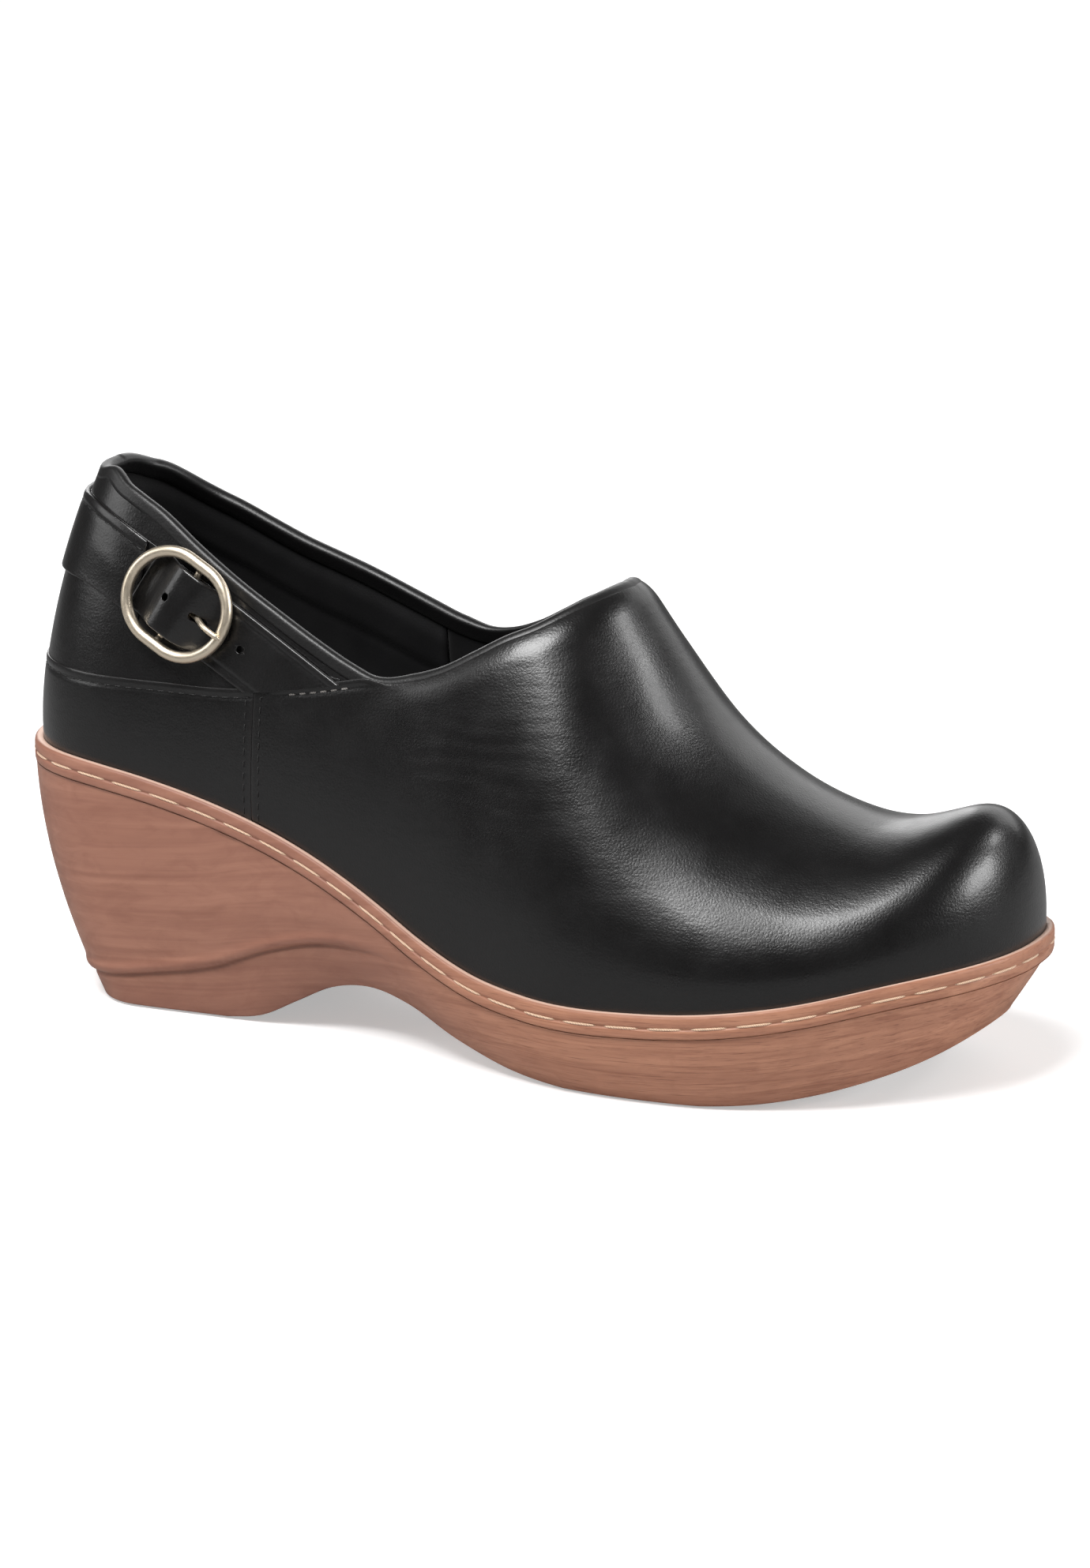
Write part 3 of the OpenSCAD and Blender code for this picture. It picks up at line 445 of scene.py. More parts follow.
def stitch_run(curve, normals, pitch, share, radius, rise, parts=7, skip=1.0):
    """Points and faces of a row of stitches: short arched threads whose ends dive into the leather."""
    sides = 8
    s = run_length(curve)
    points, faces = [], []
    for first in np.arange(skip, s[-1] - pitch, pitch):
        t = first + pitch * share * np.linspace(0, 1, parts)
        c = at_lengths(t, s, curve)
        n = unit(at_lengths(t, s, normals))
        u = np.linspace(-1, 1, parts)
        c = c + n * (rise * (1 - u**4) - radius * 1.1 * np.abs(u) ** 5)[:, None]
        along = unit(np.gradient(c, axis=0))
        across = unit(np.cross(along, n))
        n = np.cross(across, along)
        size = radius * np.sqrt(np.maximum(1 - np.abs(u) ** 6, 0.15))
        start = len(points) * parts * sides
        points.append(rings_along(c, size, across, n, sides).reshape(-1, 3))
        faces += grid_faces(parts, sides, start, close=True).tolist()
        faces.append(list(range(start, start + sides)))
        faces.append(list(range(start + (parts - 1) * sides, start + parts * sides)))
    return points, faces


def add_stitches(name, rows, material):
    """One object from several rows of stitches."""
    points, faces = [], []
    for row_points, row_faces in rows:
        start = sum(len(p) for p in points)
        points += row_points
        faces += [[i + start for i in f] for f in row_faces]
    return add_mesh(name, np.concatenate(points), faces, material)


# ------------------------------------------------------------------ materials
class Graph:
    """Shorthand for building one material out of nodes."""

    def __init__(self, name, slot):
        self.material = bpy.data.materials.new(name)
        self.material.use_nodes = True
        self.material["slot"] = slot
        self.tree = self.material.node_tree
        self.shader = self.tree.nodes["Principled BSDF"]
        self.coords = self.node("TexCoord").outputs["Object"]

    def feed(self, socket, value):
        if isinstance(value, bpy.types.NodeSocket):
            self.tree.links.new(value, socket)
        elif isinstance(value, tuple) and len(value) == 3 and socket.type == "RGBA":
            socket.default_value = (*value, 1)
        else:
            socket.default_value = value

    def node(self, kind, settings=None, **inputs):
        n = self.tree.nodes.new("ShaderNode" + kind)
        for key, value in (settings or {}).items():
            setattr(n, key, value)
        for key, value in inputs.items():
            self.feed(n.inputs[key.replace("_", " ")], value)
        return n

    def stretched(self, scale, vector=None):
        return self.node("Mapping", Scale=scale, Vector=vector or self.coords).outputs["Vector"]

    def noise(self, scale, detail=3.0, roughness=0.5, vector=None, distortion=0.0):
        n = self.node("TexNoise", Vector=vector or self.coords, Scale=scale, Detail=detail,
                      Roughness=roughness, Distortion=distortion)
        return n.outputs["Fac"]

    def cells(self, scale, feature="DISTANCE_TO_EDGE"):
        n = self.node("TexVoronoi", {"feature": feature}, Vector=self.coords, Scale=scale)
        return n.outputs["Distance"]

    def attribute(self, name, output="Fac"):
        return self.node("Attribute", {"attribute_name": name}).outputs[output]

    def maths(self, operation, a, b):
        n = self.node("Math", {"operation": operation})
        self.feed(n.inputs[0], a)
        self.feed(n.inputs[1], b)
        return n.outputs[0]

    def spread(self, value, low, high, to_low=0.0, to_high=1.0):
        n = self.node("MapRange", Value=value, From_Min=low, From_Max=high, To_Min=to_low, To_Max=to_high)
        return n.outputs["Result"]

    def mix(self, share, a, b, blend="MIX"):
        n = self.node("Mix", {"data_type": "RGBA", "blend_type": blend})
        self.feed(n.inputs[0], share)
        self.feed(n.inputs[6], a)
        self.feed(n.inputs[7], b)
        return n.outputs[2]

    def stain(self, tint, share, strength, colour):
        """Tint mixed with a colour where share is high, at most by strength."""
        return self.mix(self.maths("MULTIPLY", share, strength), tint, colour)

    def bump(self, height, strength, distance, normal=None):
        n = self.node("Bump", Height=height, Strength=strength, Distance=distance)
        if normal is not None:
            self.feed(n.inputs["Normal"], normal)
        return n.outputs["Normal"]

    def finish(self, **inputs):
        for key, value in inputs.items():
            self.feed(self.shader.inputs[key.replace("_", " ")], value)
        return self.material


def upper_leather(name, dull=0.0, coat=0.18):
    """Smooth black leather with a satin gloss: fine grain, faint creases, lighter worn edges."""
    g = Graph(name, "upper_leather")
    patches = g.noise(34, 4, 0.6)
    tint = g.mix(patches, (0.0026, 0.0024, 0.0027), (0.0050, 0.0046, 0.0046))
    tint = g.stain(tint, g.attribute("wear"), 0.30, (0.022, 0.020, 0.020))
    grain = g.cells(1150)
    pores = g.noise(2600, 2, 0.6)
    wrinkles = g.noise(1.0, 5, 0.62, g.stretched((120, 120, 420)), 0.1)
    normal = g.bump(g.spread(grain, 0.0, 0.35), 0.10, 0.0002)
    normal = g.bump(pores, 0.06, 0.00015, normal)
    normal = g.bump(wrinkles, 0.16, 0.0005, normal)
    gloss = g.spread(g.noise(90, 3, 0.55), 0.3, 0.7, 0.27 + dull, 0.36 + dull)
    return g.finish(Base_Color=tint, Roughness=gloss, Normal=normal, Specular_IOR_Level=0.5,
                    Coat_Weight=coat, Coat_Roughness=0.16)


def lining_leather():
    """Soft black lining, matt, with a finer grain."""
    g = Graph("lining", "lining_leather")
    tint = g.mix(g.noise(55, 4, 0.6), (0.005, 0.005, 0.0055), (0.011, 0.0105, 0.011))
    normal = g.bump(g.cells(1500), 0.16, 0.0002)
    normal = g.bump(g.noise(260, 4, 0.6), 0.2, 0.0003, normal)
    return g.finish(Base_Color=tint, Roughness=g.spread(g.noise(120), 0.3, 0.7, 0.50, 0.62), Normal=normal,
                    Specular_IOR_Level=0.3, Sheen_Weight=0.05, Sheen_Roughness=0.4)


def wood_look():
    """Moulded sole printed as wood. The grain attribute runs along the foot and down from the rim. Light is
    painted in too: the forefoot brightened, the welt's lip pale as partly a painted highlight, and painted
    shade in the S line's groove and along the bottom edge.
    """
    g = Graph("wood_look", "sole_wood_look")
    grain = g.attribute("grain", "Vector")
    front = g.attribute("front")
    streaks = g.noise(1.0, 6, 0.62, g.stretched((0.016, 0.9, 0.10), grain), 0.5)
    bands = g.noise(1.0, 3, 0.5, g.stretched((0.010, 0.26, 0.05), grain), 1.1)
    fine = g.noise(1.0, 3, 0.6, g.stretched((0.10, 3.2, 0.4), grain))
    mottle = g.noise(1.0, 5, 0.6, g.stretched((0.10, 0.22, 0.16), grain), 0.8)
    light, middle = (0.336, 0.156, 0.104), (0.272, 0.119, 0.079)
    deep, line = (0.196, 0.076, 0.048), (0.118, 0.042, 0.028)
    tint = g.mix(g.spread(bands, 0.36, 0.66), middle, light)
    tint = g.stain(tint, g.spread(mottle, 0.45, 0.7), 0.35, deep)
    tint = g.stain(tint, g.spread(streaks, 0.50, 0.66), g.spread(front, 0, 1, 0.16, 0.8), deep)
    tint = g.stain(tint, g.spread(fine, 0.56, 0.70), g.spread(front, 0, 1, 0.06, 0.6), line)
    # painted light: the wood's colour is brightened towards the forefoot, standing in for light that falls
    # there
    painted_front_light = g.mix(front, (1.0, 1.0, 1.0), (1.30, 1.33, 1.20))
    tint = g.mix(1.0, tint, painted_front_light, "MULTIPLY")
    # the welt's lip is painted pale: partly a painted highlight, partly a paler edge where the finish is thin
    tint = g.stain(tint, g.attribute("lip"), 0.85, (0.72, 0.50, 0.40))
    # painted shade: darker in the S line's groove, partly a darker incised line, and along the bottom edge
    # near the floor
    tint = g.stain(tint, g.attribute("groove_line_and_painted_shade"), 0.42, line)
    normal = g.bump(streaks, 0.10, 0.0004)
    normal = g.bump(fine, 0.10, 0.0002, normal)
    return g.finish(Base_Color=tint, Roughness=g.spread(mottle, 0.3, 0.7, 0.40, 0.54), Normal=normal,
                    Specular_IOR_Level=0.42)


def tread_rubber():
    """Dark brown rubber under the heel and the ball, its faces marked with scuffs."""
    g = Graph("tread_rubber", "tread_rubber")
    scuffs = g.noise(1.0, 5, 0.65, g.stretched((60, 260, 260)))
    tint = g.mix(g.spread(scuffs, 0.4, 0.7), (0.085, 0.045, 0.030), (0.145, 0.085, 0.060))
    normal = g.bump(g.noise(900, 3), 0.25, 0.0003)
    return g.finish(Base_Color=tint, Roughness=g.spread(scuffs, 0.3, 0.7, 0.6, 0.8), Normal=normal)


def thread(name, slot, light, dark, sheen=0.2):
    """Twisted sewing thread."""
    g = Graph(name, slot)
    twist = g.node("TexWave", {"bands_direction": "DIAGONAL"}, Vector=g.coords, Scale=900.0,
                   Distortion=1.2, Detail=2.0).outputs["Fac"]
    tint = g.mix(twist, dark, light)
    tint = g.stain(tint, g.noise(140), 0.4, dark)
    return g.finish(Base_Color=tint, Roughness=0.55, Normal=g.bump(twist, 0.5, 0.0002),
                    Sheen_Weight=sheen)


def gold_metal():
    """Pale gold plating, polished, with hair-fine brushing and a few dull spots."""
    g = Graph("pale_gold", "buckle_metal")
    brush = g.noise(1.0, 4, 0.6, g.stretched((300, 2600, 2600)))
    spots = g.noise(420, 4, 0.6)
    tint = g.mix(spots, (0.84, 0.72, 0.55), (0.92, 0.81, 0.66))
    rough = g.maths("ADD", g.spread(brush, 0.3, 0.7, 0.34, 0.44), g.spread(spots, 0.6, 0.8, 0.0, 0.12))
    return g.finish(Base_Color=tint, Metallic=1.0, Roughness=rough, Normal=g.bump(brush, 0.05, 0.0001))


def shank_steel():
    """Cold-rolled spring steel with a rolled finish along its length."""
    g = Graph("spring_steel", "shank_steel")
    rolled = g.noise(1.0, 5, 0.6, g.stretched((60, 1600, 1600)))
    stain = g.noise(70, 4, 0.6)
    tint = g.mix(stain, (0.42, 0.43, 0.46), (0.56, 0.55, 0.54))
    return g.finish(Base_Color=tint, Metallic=1.0, Roughness=g.spread(rolled, 0.3, 0.7, 0.25, 0.45),
                    Normal=g.bump(rolled, 0.15, 0.0001))


def fibre_board():
    """Tan insole board: pressed fibres and a few darker flecks."""
    g = Graph("fibre_board", "board_fibre")
    fibres = g.noise(1.0, 6, 0.7, g.stretched((500, 1500, 1500)))
    flecks = g.cells(420, feature="F1")
    tint = g.mix(fibres, (0.40, 0.27, 0.16), (0.60, 0.45, 0.30))
    tint = g.mix(g.spread(flecks, 0.16, 0.05), tint, (0.20, 0.12, 0.07))
    return g.finish(Base_Color=tint, Roughness=0.85, Normal=g.bump(fibres, 0.4, 0.0003))


def cork():
    """Granulated cork: grains of several browns with dark gaps."""
    g = Graph("cork", "filler_cork")
    grains = g.node("TexVoronoi", Vector=g.coords, Scale=430.0)
    shade = g.node("SeparateColor", Color=grains.outputs["Color"]).outputs["Red"]
    gaps = g.cells(430)
    tint = g.mix(shade, (0.36, 0.20, 0.10), (0.62, 0.41, 0.24))
    tint = g.mix(g.spread(gaps, 0.08, 0.0), tint, (0.10, 0.05, 0.03))
    return g.finish(Base_Color=tint, Roughness=0.9, Normal=g.bump(g.spread(gaps, 0.0, 0.2), 0.5, 0.0005))


def stiffener():
    """Thermoplastic sheet for counter and toe puff, with its cloth backing's weave."""
    g = Graph("stiffener_sheet", "stiffener")
    warp = g.node("TexWave", {"bands_direction": "X"}, Vector=g.coords, Scale=380.0).outputs["Fac"]
    weft = g.node("TexWave", {"bands_direction": "Z"}, Vector=g.coords, Scale=380.0).outputs["Fac"]
    weave = g.maths("MULTIPLY", warp, weft)
    tint = g.mix(weave, (0.58, 0.50, 0.38), (0.74, 0.67, 0.54))
    tint = g.stain(tint, g.noise(60, 4), 0.3, (0.50, 0.40, 0.28))
    return g.finish(Base_Color=tint, Roughness=0.75, Normal=g.bump(weave, 0.4, 0.0003))


def foam(name, slot, light, dark):
    """Open-cell foam: small pits and a soft, uneven colour."""
    g = Graph(name, slot)
    pits = g.cells(1300, feature="F1")
    tint = g.mix(g.spread(pits, 0.25, 0.6), dark, light)
    tint = g.stain(tint, g.noise(80, 4), 0.3, dark)
    return g.finish(Base_Color=tint, Roughness=0.95, Normal=g.bump(pits, 0.6, 0.0004))


LEATHER = upper_leather("black_leather")
EDGE_LEATHER = upper_leather("black_edge_leather", 0.12, 0.06)
LINING = lining_leather()
WOOD = wood_look()
RUBBER = tread_rubber()
CREAM_THREAD = thread("cream_thread", "thread_cream", (0.80, 0.58, 0.42), (0.56, 0.36, 0.23))
BLACK_THREAD = thread("black_thread", "thread_black", (0.016, 0.015, 0.015), (0.004, 0.004, 0.004), 0.02)
# grey thread for the wings' row: partly a painted glint on black thread, partly a lighter thread
GLINT_GREY_THREAD = thread("grey_glint_thread", "thread_black", (0.30, 0.28, 0.26), (0.10, 0.09, 0.085))
GOLD = gold_metal()
STIFF = stiffener()
PAD_FOAM = foam("padding_foam", "padding_foam", (0.82, 0.70, 0.40), (0.56, 0.44, 0.20))
BED_FOAM = foam("footbed_foam", "footbed_foam", (0.10, 0.10, 0.105), (0.035, 0.035, 0.038))


# ------------------------------------------------------------------ sole unit
CLEAR = 0.05                               # between faces that lie against each other
WELT_H = 5.6                               # depth of the welt, from the rim
REBATE_IN = 6.0                            # width of the rebate that it lies in
PLATFORM_DROP = 0.5                        # of the platform under the upper, from the rim
BASIN_IN, BASIN_DROP = 9.0, 3.0            # edge and depth of the hollow in the platform
HEEL_UNDER, TOE_UNDER = 18.0, 9.0          # how far the bottom edge lies inside the rim
SIDE_BOW, HEEL_BOW = 2.2, 2                # powers of the side's curve towards the bottom edge
BOTTOM_TURN = ((0.5, 0.28), (1.3, 0.42))   # (inset, drop) of the rounded bottom edge
GRAIN_TURN = (95, 160)                     # stations over which the grain turns to follow the rim
LINE_STARTS, LINE_ENDS = (6, 20), (88, 116)     # stations where the heel's S line fades in and out
OUTLINE_HALF = 170        # points along half of the outline
WELT_GROOVE = 3.0                          # of the welt's sewn groove, down from the rim
WELT_PROFILE = [                           # (inset, height) from the rim: lip, sewn face, underside
    (5.6, -0.75), (2.4, -0.72), (1.98, -0.45), (1.86, -0.12), (1.62, 0.02), (1.2, 0.06), (0.7, 0.03),
    (0.25, -0.10), (-0.02, -0.36), (-0.14, -0.75), (-0.2, -1.3), (-0.21, -2.0), (-0.2, -2.45), (-0.12, -2.62),
    (0.06, -2.78), (0.14, -3.0), (0.06, -3.22), (-0.12, -3.38), (-0.2, -3.55), (-0.21, -4.2), (-0.18, -4.9),
    (-0.08, -5.3), (0.12, -5.52), (0.4, -5.6), (5.6, -5.6)]


def outline_places():
    """Places from heel to toe along half of the outline, evenly spaced, both poles included."""
    fine = np.linspace(0, 1, 4000)
    s = run_length(np.stack(outline(-1, fine, 0.0), -1))
    return np.interp(np.linspace(0, s[-1], OUTLINE_HALF), s, fine)


PLACES = outline_places()


def loop_of(half):
    """Closed loop from a function of side and places: outer side to the toe, inner side back."""
    return np.concatenate([half(-1, PLACES), half(1, PLACES)[-2:0:-1]])


def rim_loop(inset, height):
    """Loop that follows the rim, inset from it and at a height measured from it."""
    def half(side, a):
        x, y = outline(side, a, inset)
        return np.stack([x, y, rim_z(x) + height], -1)
    return loop_of(half)


def grain_of(points):
    """Attributes of the wood: grain runs along, down and across; front is 1 at the forefoot."""
    x, y, z = points[..., 0], points[..., 1], points[..., 2]
    front = ease(x, *GRAIN_TURN)
    flow = z - rim_z(x) * 0.75 * front - smooth(HEEL_RIDGE, x) * 0.5 * (1 - front)
    return {"grain": np.stack([x, flow, y], -1).reshape(-1, 3), "front": front.ravel()}


def heel_line(x, z):
    """Signed height above the heel's moulded S line, and how strongly the line shows at a station."""
    return z - smooth(HEEL_RIDGE, x), ease(x, *LINE_STARTS) * (1 - ease(x, *LINE_ENDS))


def side_relief(x, z):
    """The S line: an incised groove with a soft crest above it, the wall set back a little below it."""
    above, shown = heel_line(x, z)
    set_back = 0.5 * (1 - ease(above, -1.0, 0.5))
    return shown * (0.6 * hump(above, 1.9, 1.4) - 0.9 * hump(above, 0, 0.6) - set_back)


def sole_loop(t):
    """Loop around the sole's side: t is 0 at the rim and 1 at the bottom edge."""
    def half(side, a):
        rim_x, _ = outline(side, a, 0.0)
        x, y = outline(side, a, smooth(SIDE_INSET, rim_x) * t**SIDE_BOW, HEEL_UNDER * t**HEEL_BOW,
                       TOE_UNDER * t**SIDE_BOW)
        z = rim_z(rim_x) + (TREAD_PROUD + underside_z(x) - rim_z(rim_x)) * t
        push = outward_level(x, y) * side_relief(x, z)[:, None]
        return np.stack([x + push[:, 0], y + push[:, 1], z], -1)
    return loop_of(half)


def turned_in(loop, inset, drop):
    """The sole's bottom loop, moved towards the middle line and down."""
    middle = np.column_stack([loop[:, 0], smooth(CENTRE, loop[:, 0])])
    away = loop[:, :2] - middle
    length = np.linalg.norm(away, axis=1, keepdims=True)
    level = loop[:, :2] - away / np.maximum(length, 1e-6) * np.minimum(inset, length * 0.5)
    return np.column_stack([level, loop[:, 2] - drop])


def build_sole():
    """Unit sole: side wall with its rounded bottom edge, and the platform under the upper."""
    heights = np.concatenate([np.linspace(0, 0.5, 25), np.linspace(0.505, 1, 111)])
    walls = [sole_loop(t) for t in heights[::1]]
    bottom = [turned_in(walls[-1], inset, drop) for inset, drop in BOTTOM_TURN]
    under_welt = rim_loop(0.0, -WELT_H - CLEAR)
    for loop in walls:
        loop[:, 2] = np.minimum(loop[:, 2], under_welt[:, 2])
    walls[0] = under_welt
    top = [rim_loop(BASIN_IN, -BASIN_DROP), rim_loop(BASIN_IN, -PLATFORM_DROP - CLEAR),
           rim_loop(REBATE_IN + CLEAR, -PLATFORM_DROP - CLEAR), rim_loop(REBATE_IN + CLEAR, -WELT_H - CLEAR)]
    loops = np.array(top + walls + bottom)
    x, z = loops[..., 0], loops[..., 2]
    above, shown = heel_line(x, z)
    # painted shade: the wood is darkened along the bottom edge, near the floor
    painted_bottom_shade = 0.55 * hump(z, underside_z(x), 3.5)
    paint = {**grain_of(loops), "groove_line_and_painted_shade": np.maximum(shown * hump(above, -0.1, 0.7), painted_bottom_shade).ravel()}
    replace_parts(add_loft("sole_unit", loops, WOOD, paint), "wedge_sole")


def build_welt():
    """Welt: lip around the upper, a sewn groove, and a thin parting line where it meets the sole."""
    loops = np.array([rim_loop(inset, height) for inset, height in WELT_PROFILE])
    # rows of the lip's top, painted pale as a painted highlight and a thinner finish on the edge
    lip = [float(0.7 <= inset < 2 and height > -0.4) for inset, height in WELT_PROFILE]
    paint = {**grain_of(loops), "lip": np.repeat(lip, loops.shape[1])}
    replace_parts(add_loft("welt_strip", loops, WOOD, paint, closed=True), "welt")


def build_welt_stitches():
    """Cream lockstitches in the welt's groove."""
    rows = []
    for side in (-1, 1):
        x, y = outline(side, PLACES, -0.02)
        curve = np.stack([x, y, rim_z(x) - WELT_GROOVE], -1)
        out = np.column_stack([outward_level(x, y), np.zeros(len(x))])
        rows.append(stitch_run(curve, out, 10.4, 0.83, 0.30, rise=0.02, parts=11, skip=4.0))
    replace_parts(add_stitches("welt_thread", rows, CREAM_THREAD), "welt_stitching")


# ------------------------------------------------------------------ treads
RECESS = 0.9                               # depth of the recess that holds the rubber
HEEL_NARROWS, TOE_NARROWS = 24.0, 52.0     # lengths over which the rubber narrows towards the ends
ZIGZAG, ZIGZAG_PITCH = 2.2, 9.0            # of the cross grooves, along and across the foot
GROOVE_CUT, GROOVE_PITCH = 0.65, 7.5


def tread_plate(name, node, x_from, x_to, inset):
    """Rubber plate that follows the underside, cut by zigzag cross grooves."""
    u = np.linspace(0, 1, 150)[:, None]
    w = np.linspace(-1, 1, 48)[None, :]
    x = x_from + (x_to - x_from) * u + 0 * w
    from_ends = np.minimum((SOLE_LENGTH - TOE_UNDER - x) / TOE_NARROWS, (x - HEEL_UNDER) / HEEL_NARROWS)
    rounding = (1 - (1 - np.clip(from_ends, 0, 1)) ** TOE_POWER) ** (1 / TOE_POWER)
    half = np.maximum((smooth(HALF_WIDTH, x) - smooth(SIDE_INSET, x)) * rounding - inset, 0.5)
    y = smooth(CENTRE, x) + w * half
    zigzag = x + ZIGZAG * np.abs((y / ZIGZAG_PITCH) % 2 - 1)
    groove = ease(np.abs((zigzag / GROOVE_PITCH) % 1 - 0.5), 0.34, 0.44)
    gap = np.minimum((1 - np.abs(w)) * half, np.minimum(x - x_from, x_to - x))
    low = underside_z(x) + GROOVE_CUT * groove * ease(gap, 1.0, 2.4) + round_drop(gap, 0.5)
    high = underside_z(x) + TREAD_PROUD + RECESS
    plate = add_sheet(name, np.stack([x, y, low], -1), np.stack([x, y, high], -1), RUBBER)
    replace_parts(plate, node)


def build_treads():
    tread_plate("heel_top_lift", "heel_lift", 25.0, 58.5, 8.0)
    tread_plate("ball_tread", "forefoot_tread", 129.0, 237.0, 9.0)


# ------------------------------------------------------------------ footbed
BED_IN = FEATHER_INSET + INNER_FACE + 1.0  # inset of its edge from the rim
BED_LOW = 1.8                              # height of its base over the rim
BED_T = [(0, 6), (60, 6.5), (110, 7.5), (150, 5.5), (256, 4)]
BED_CUP = [(0, 5), (60, 4.5), (110, 4), (160, 1), (256, 0.3)]      # how far its edge rises above its middle
BED_REACHES = [0.06, 0.2, 0.35, 0.5, 0.65, 0.8, 0.9, 0.96, 1.0]
COVER_LOW, COVER_T = BED_LOW + 0.35, 1.0
COVER_EDGE = ((1.0, 0.45), (0.997, 0.75), (0.985, 0.95))           # (reach, height) of its rounded edge


def bed_loop(reach, height, cupped):
    """Loop on the footbed: reach is 1 at its edge; cupped is 1 on the face and 0 on its flat base."""
    def half(side, a):
        x, y = outline(side, a, BED_IN)
        centre = smooth(CENTRE, x)
        middle = np.clip(x, REAR, FRONT)
        x = middle + (x - middle) * reach
        face = smooth(BED_T, x) + smooth(BED_CUP, x) * reach**4
        return np.stack([x, centre + (y - centre) * reach, rim_z(x) + height + cupped * face], -1)
    return loop_of(half)


def build_footbed():
    """Moulded foam footbed, and its leather cover with a rounded edge."""
    bed = [bed_loop(r, BED_LOW, 0) for r in BED_REACHES]
    bed += [bed_loop(r, BED_LOW, 1) for r in BED_REACHES[::-1]]
    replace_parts(add_loft("footbed_foam", np.array(bed), BED_FOAM), "footbed")
    cover = [bed_loop(r, COVER_LOW, 1) for r in BED_REACHES]
    cover += [bed_loop(r, COVER_LOW + rise, 1) for r, rise in COVER_EDGE]
    cover += [bed_loop(r, COVER_LOW + COVER_T, 1) for r in BED_REACHES[-2::-1]]
    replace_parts(add_loft("footbed_top_cover", np.array(cover), LINING), "footbed_cover")


# ------------------------------------------------------------------ upper
SEAM_IN, FOXING_ROW, STRAP_ROW = 2.0, 2.2, 2.6     # distances of the stitches from their edges
BAND_LIFT = -0.2                           # of the collar band's leather, from the wall
EDGE_LIFT, THROAT_LIFT = -0.12, 0.45       # of the topline's rolled edge, at the collar and the throat
ROLL_DEPTH, ROLL_WIDTH = 2.0, 8.0          # how the vamp curls inwards along the throat
BACK_GAP = 0.0003                          # half of the seam between the quarters, as a place
STRAP_DROP = STRAP_W / math.cos(STRAP_ANGLE)    # width of the heel strap, measured upright
STRAP_START = -12.4                        # of the side strap, along the strap from the buckle's bar


def place_of(x):
    """Place a at which the straight part of the outline has a station."""
    return HEEL_PART + (TOE_PART - HEEL_PART) * (x - REAR) / (FRONT - REAR)


def both_sides(x):
    """Signed places of a station on the outer and on the inner side."""
    return -place_of(x), place_of(x)


def between(q, low, high, shares, depth=0.0):
    """Grid of points between two shares of the wall's height, for signed places q."""
    v = low + (high - low) * shares[:, None]
    return around(np.broadcast_to(q, v.shape), v, depth)


def line_share(q, line, lift=0.0):
    return share_of(np.where(q < 0, -1, 1), np.abs(q), line, lift)


def wrap_panel(ends, low_line, high_line, low_lift=0.0, height=30.0):
    """Grid of a panel that wraps around the heel between two side-view lines; ends are signed places."""
    q = even_places(*ends, SPACING, True, True)
    low = 0.0 if low_line is None else line_share(q, low_line, low_lift)
    return between(q, low, np.maximum(line_share(q, high_line), low), graded(height, SPACING))


def edge_places(shares, side, edge, places):
    """Where an upper edge reaches each height share; the edge ends where it first meets the ridge."""
    top = np.maximum.accumulate(edge(side, places))
    end = np.argmax(top > 0.9999) + 1
    return np.interp(shares, top[:end], places[:end])


def toe_spacing(shares):
    """Evens out the distance between columns on the way to the toe."""
    return 0.35 * shares + 0.65 * np.sin(shares * math.pi / 2)


def front_panel(x_seam, upper_edge, depth=0.0, spacing=SPACING, fine=True):
    """Grid of the vamp: rows cross the foot from feather to feather, columns run from seam to toe."""
    first = place_of(x_seam)
    places = np.linspace(first, place_of(THROAT_X), 500)
    v = np.linspace(0, 1, 105)
    length = np.linalg.norm(wall(-1, (first + 1) / 2, 0.5) - wall(-1, first, 0.5)) * 2
    columns = toe_spacing(graded(length, spacing, fine, False))
    halves = []
    for side in (-1, 1):
        starts = edge_places(v, side, upper_edge, places)[:, None]
        halves.append(wall(side, starts + (1 - starts) * columns, v[:, None], depth))
    return np.concatenate([halves[0], halves[1][-2::-1]])


def opening_edge(side, a):
    """Height share of the opening's edge."""
    return share_of(side, a, TOPLINE)


def vamp_edge(side, a):
    """Height share of the vamp's upper edge: the join over the foxing, then the throat."""
    return np.where(a < place_of(WING_X[1]), share_of(side, a, FOXING_LINE), opening_edge(side, a))


def curl(points, gap):
    """Points bent towards the foot along the throat; the curl starts at the front of the quarters."""
    depth = ROLL_DEPTH * ease(points[..., 0], 100, 116) * (1 - np.clip(gap / ROLL_WIDTH, 0, 1)) ** 2
    return points - outward_of(points) * depth[..., None]


def build_vamp():
    """Vamp, curled inwards at the throat, with faint creases where the foot bends."""
    flat = front_panel(SEAM_X, vamp_edge)
    base = curl(flat, gap_to(flat, flat[:, 0]))
    x, z = base[..., 0], base[..., 2]
    creases = hump(x, 132, 20) * hump(z, 70, 16) * np.sin(z * 1.5 + 3.0 * ripple(base, 22, 4))
    soft = ripple(base, 42, 7) * ease(x, 80, 130)
    return add_leather("vamp_leather", "vamp", base, ("start",), lift=0.27 + 0.18 * ease(x, 74, 96),
                       thick=1.4, radius=0.3, grooves=(("start", SEAM_IN),),
                       relief=0.05 * creases + 0.15 * soft,
                       sewn=ease(x, 75, 82) * (1 - ease(x, 101, 106)))


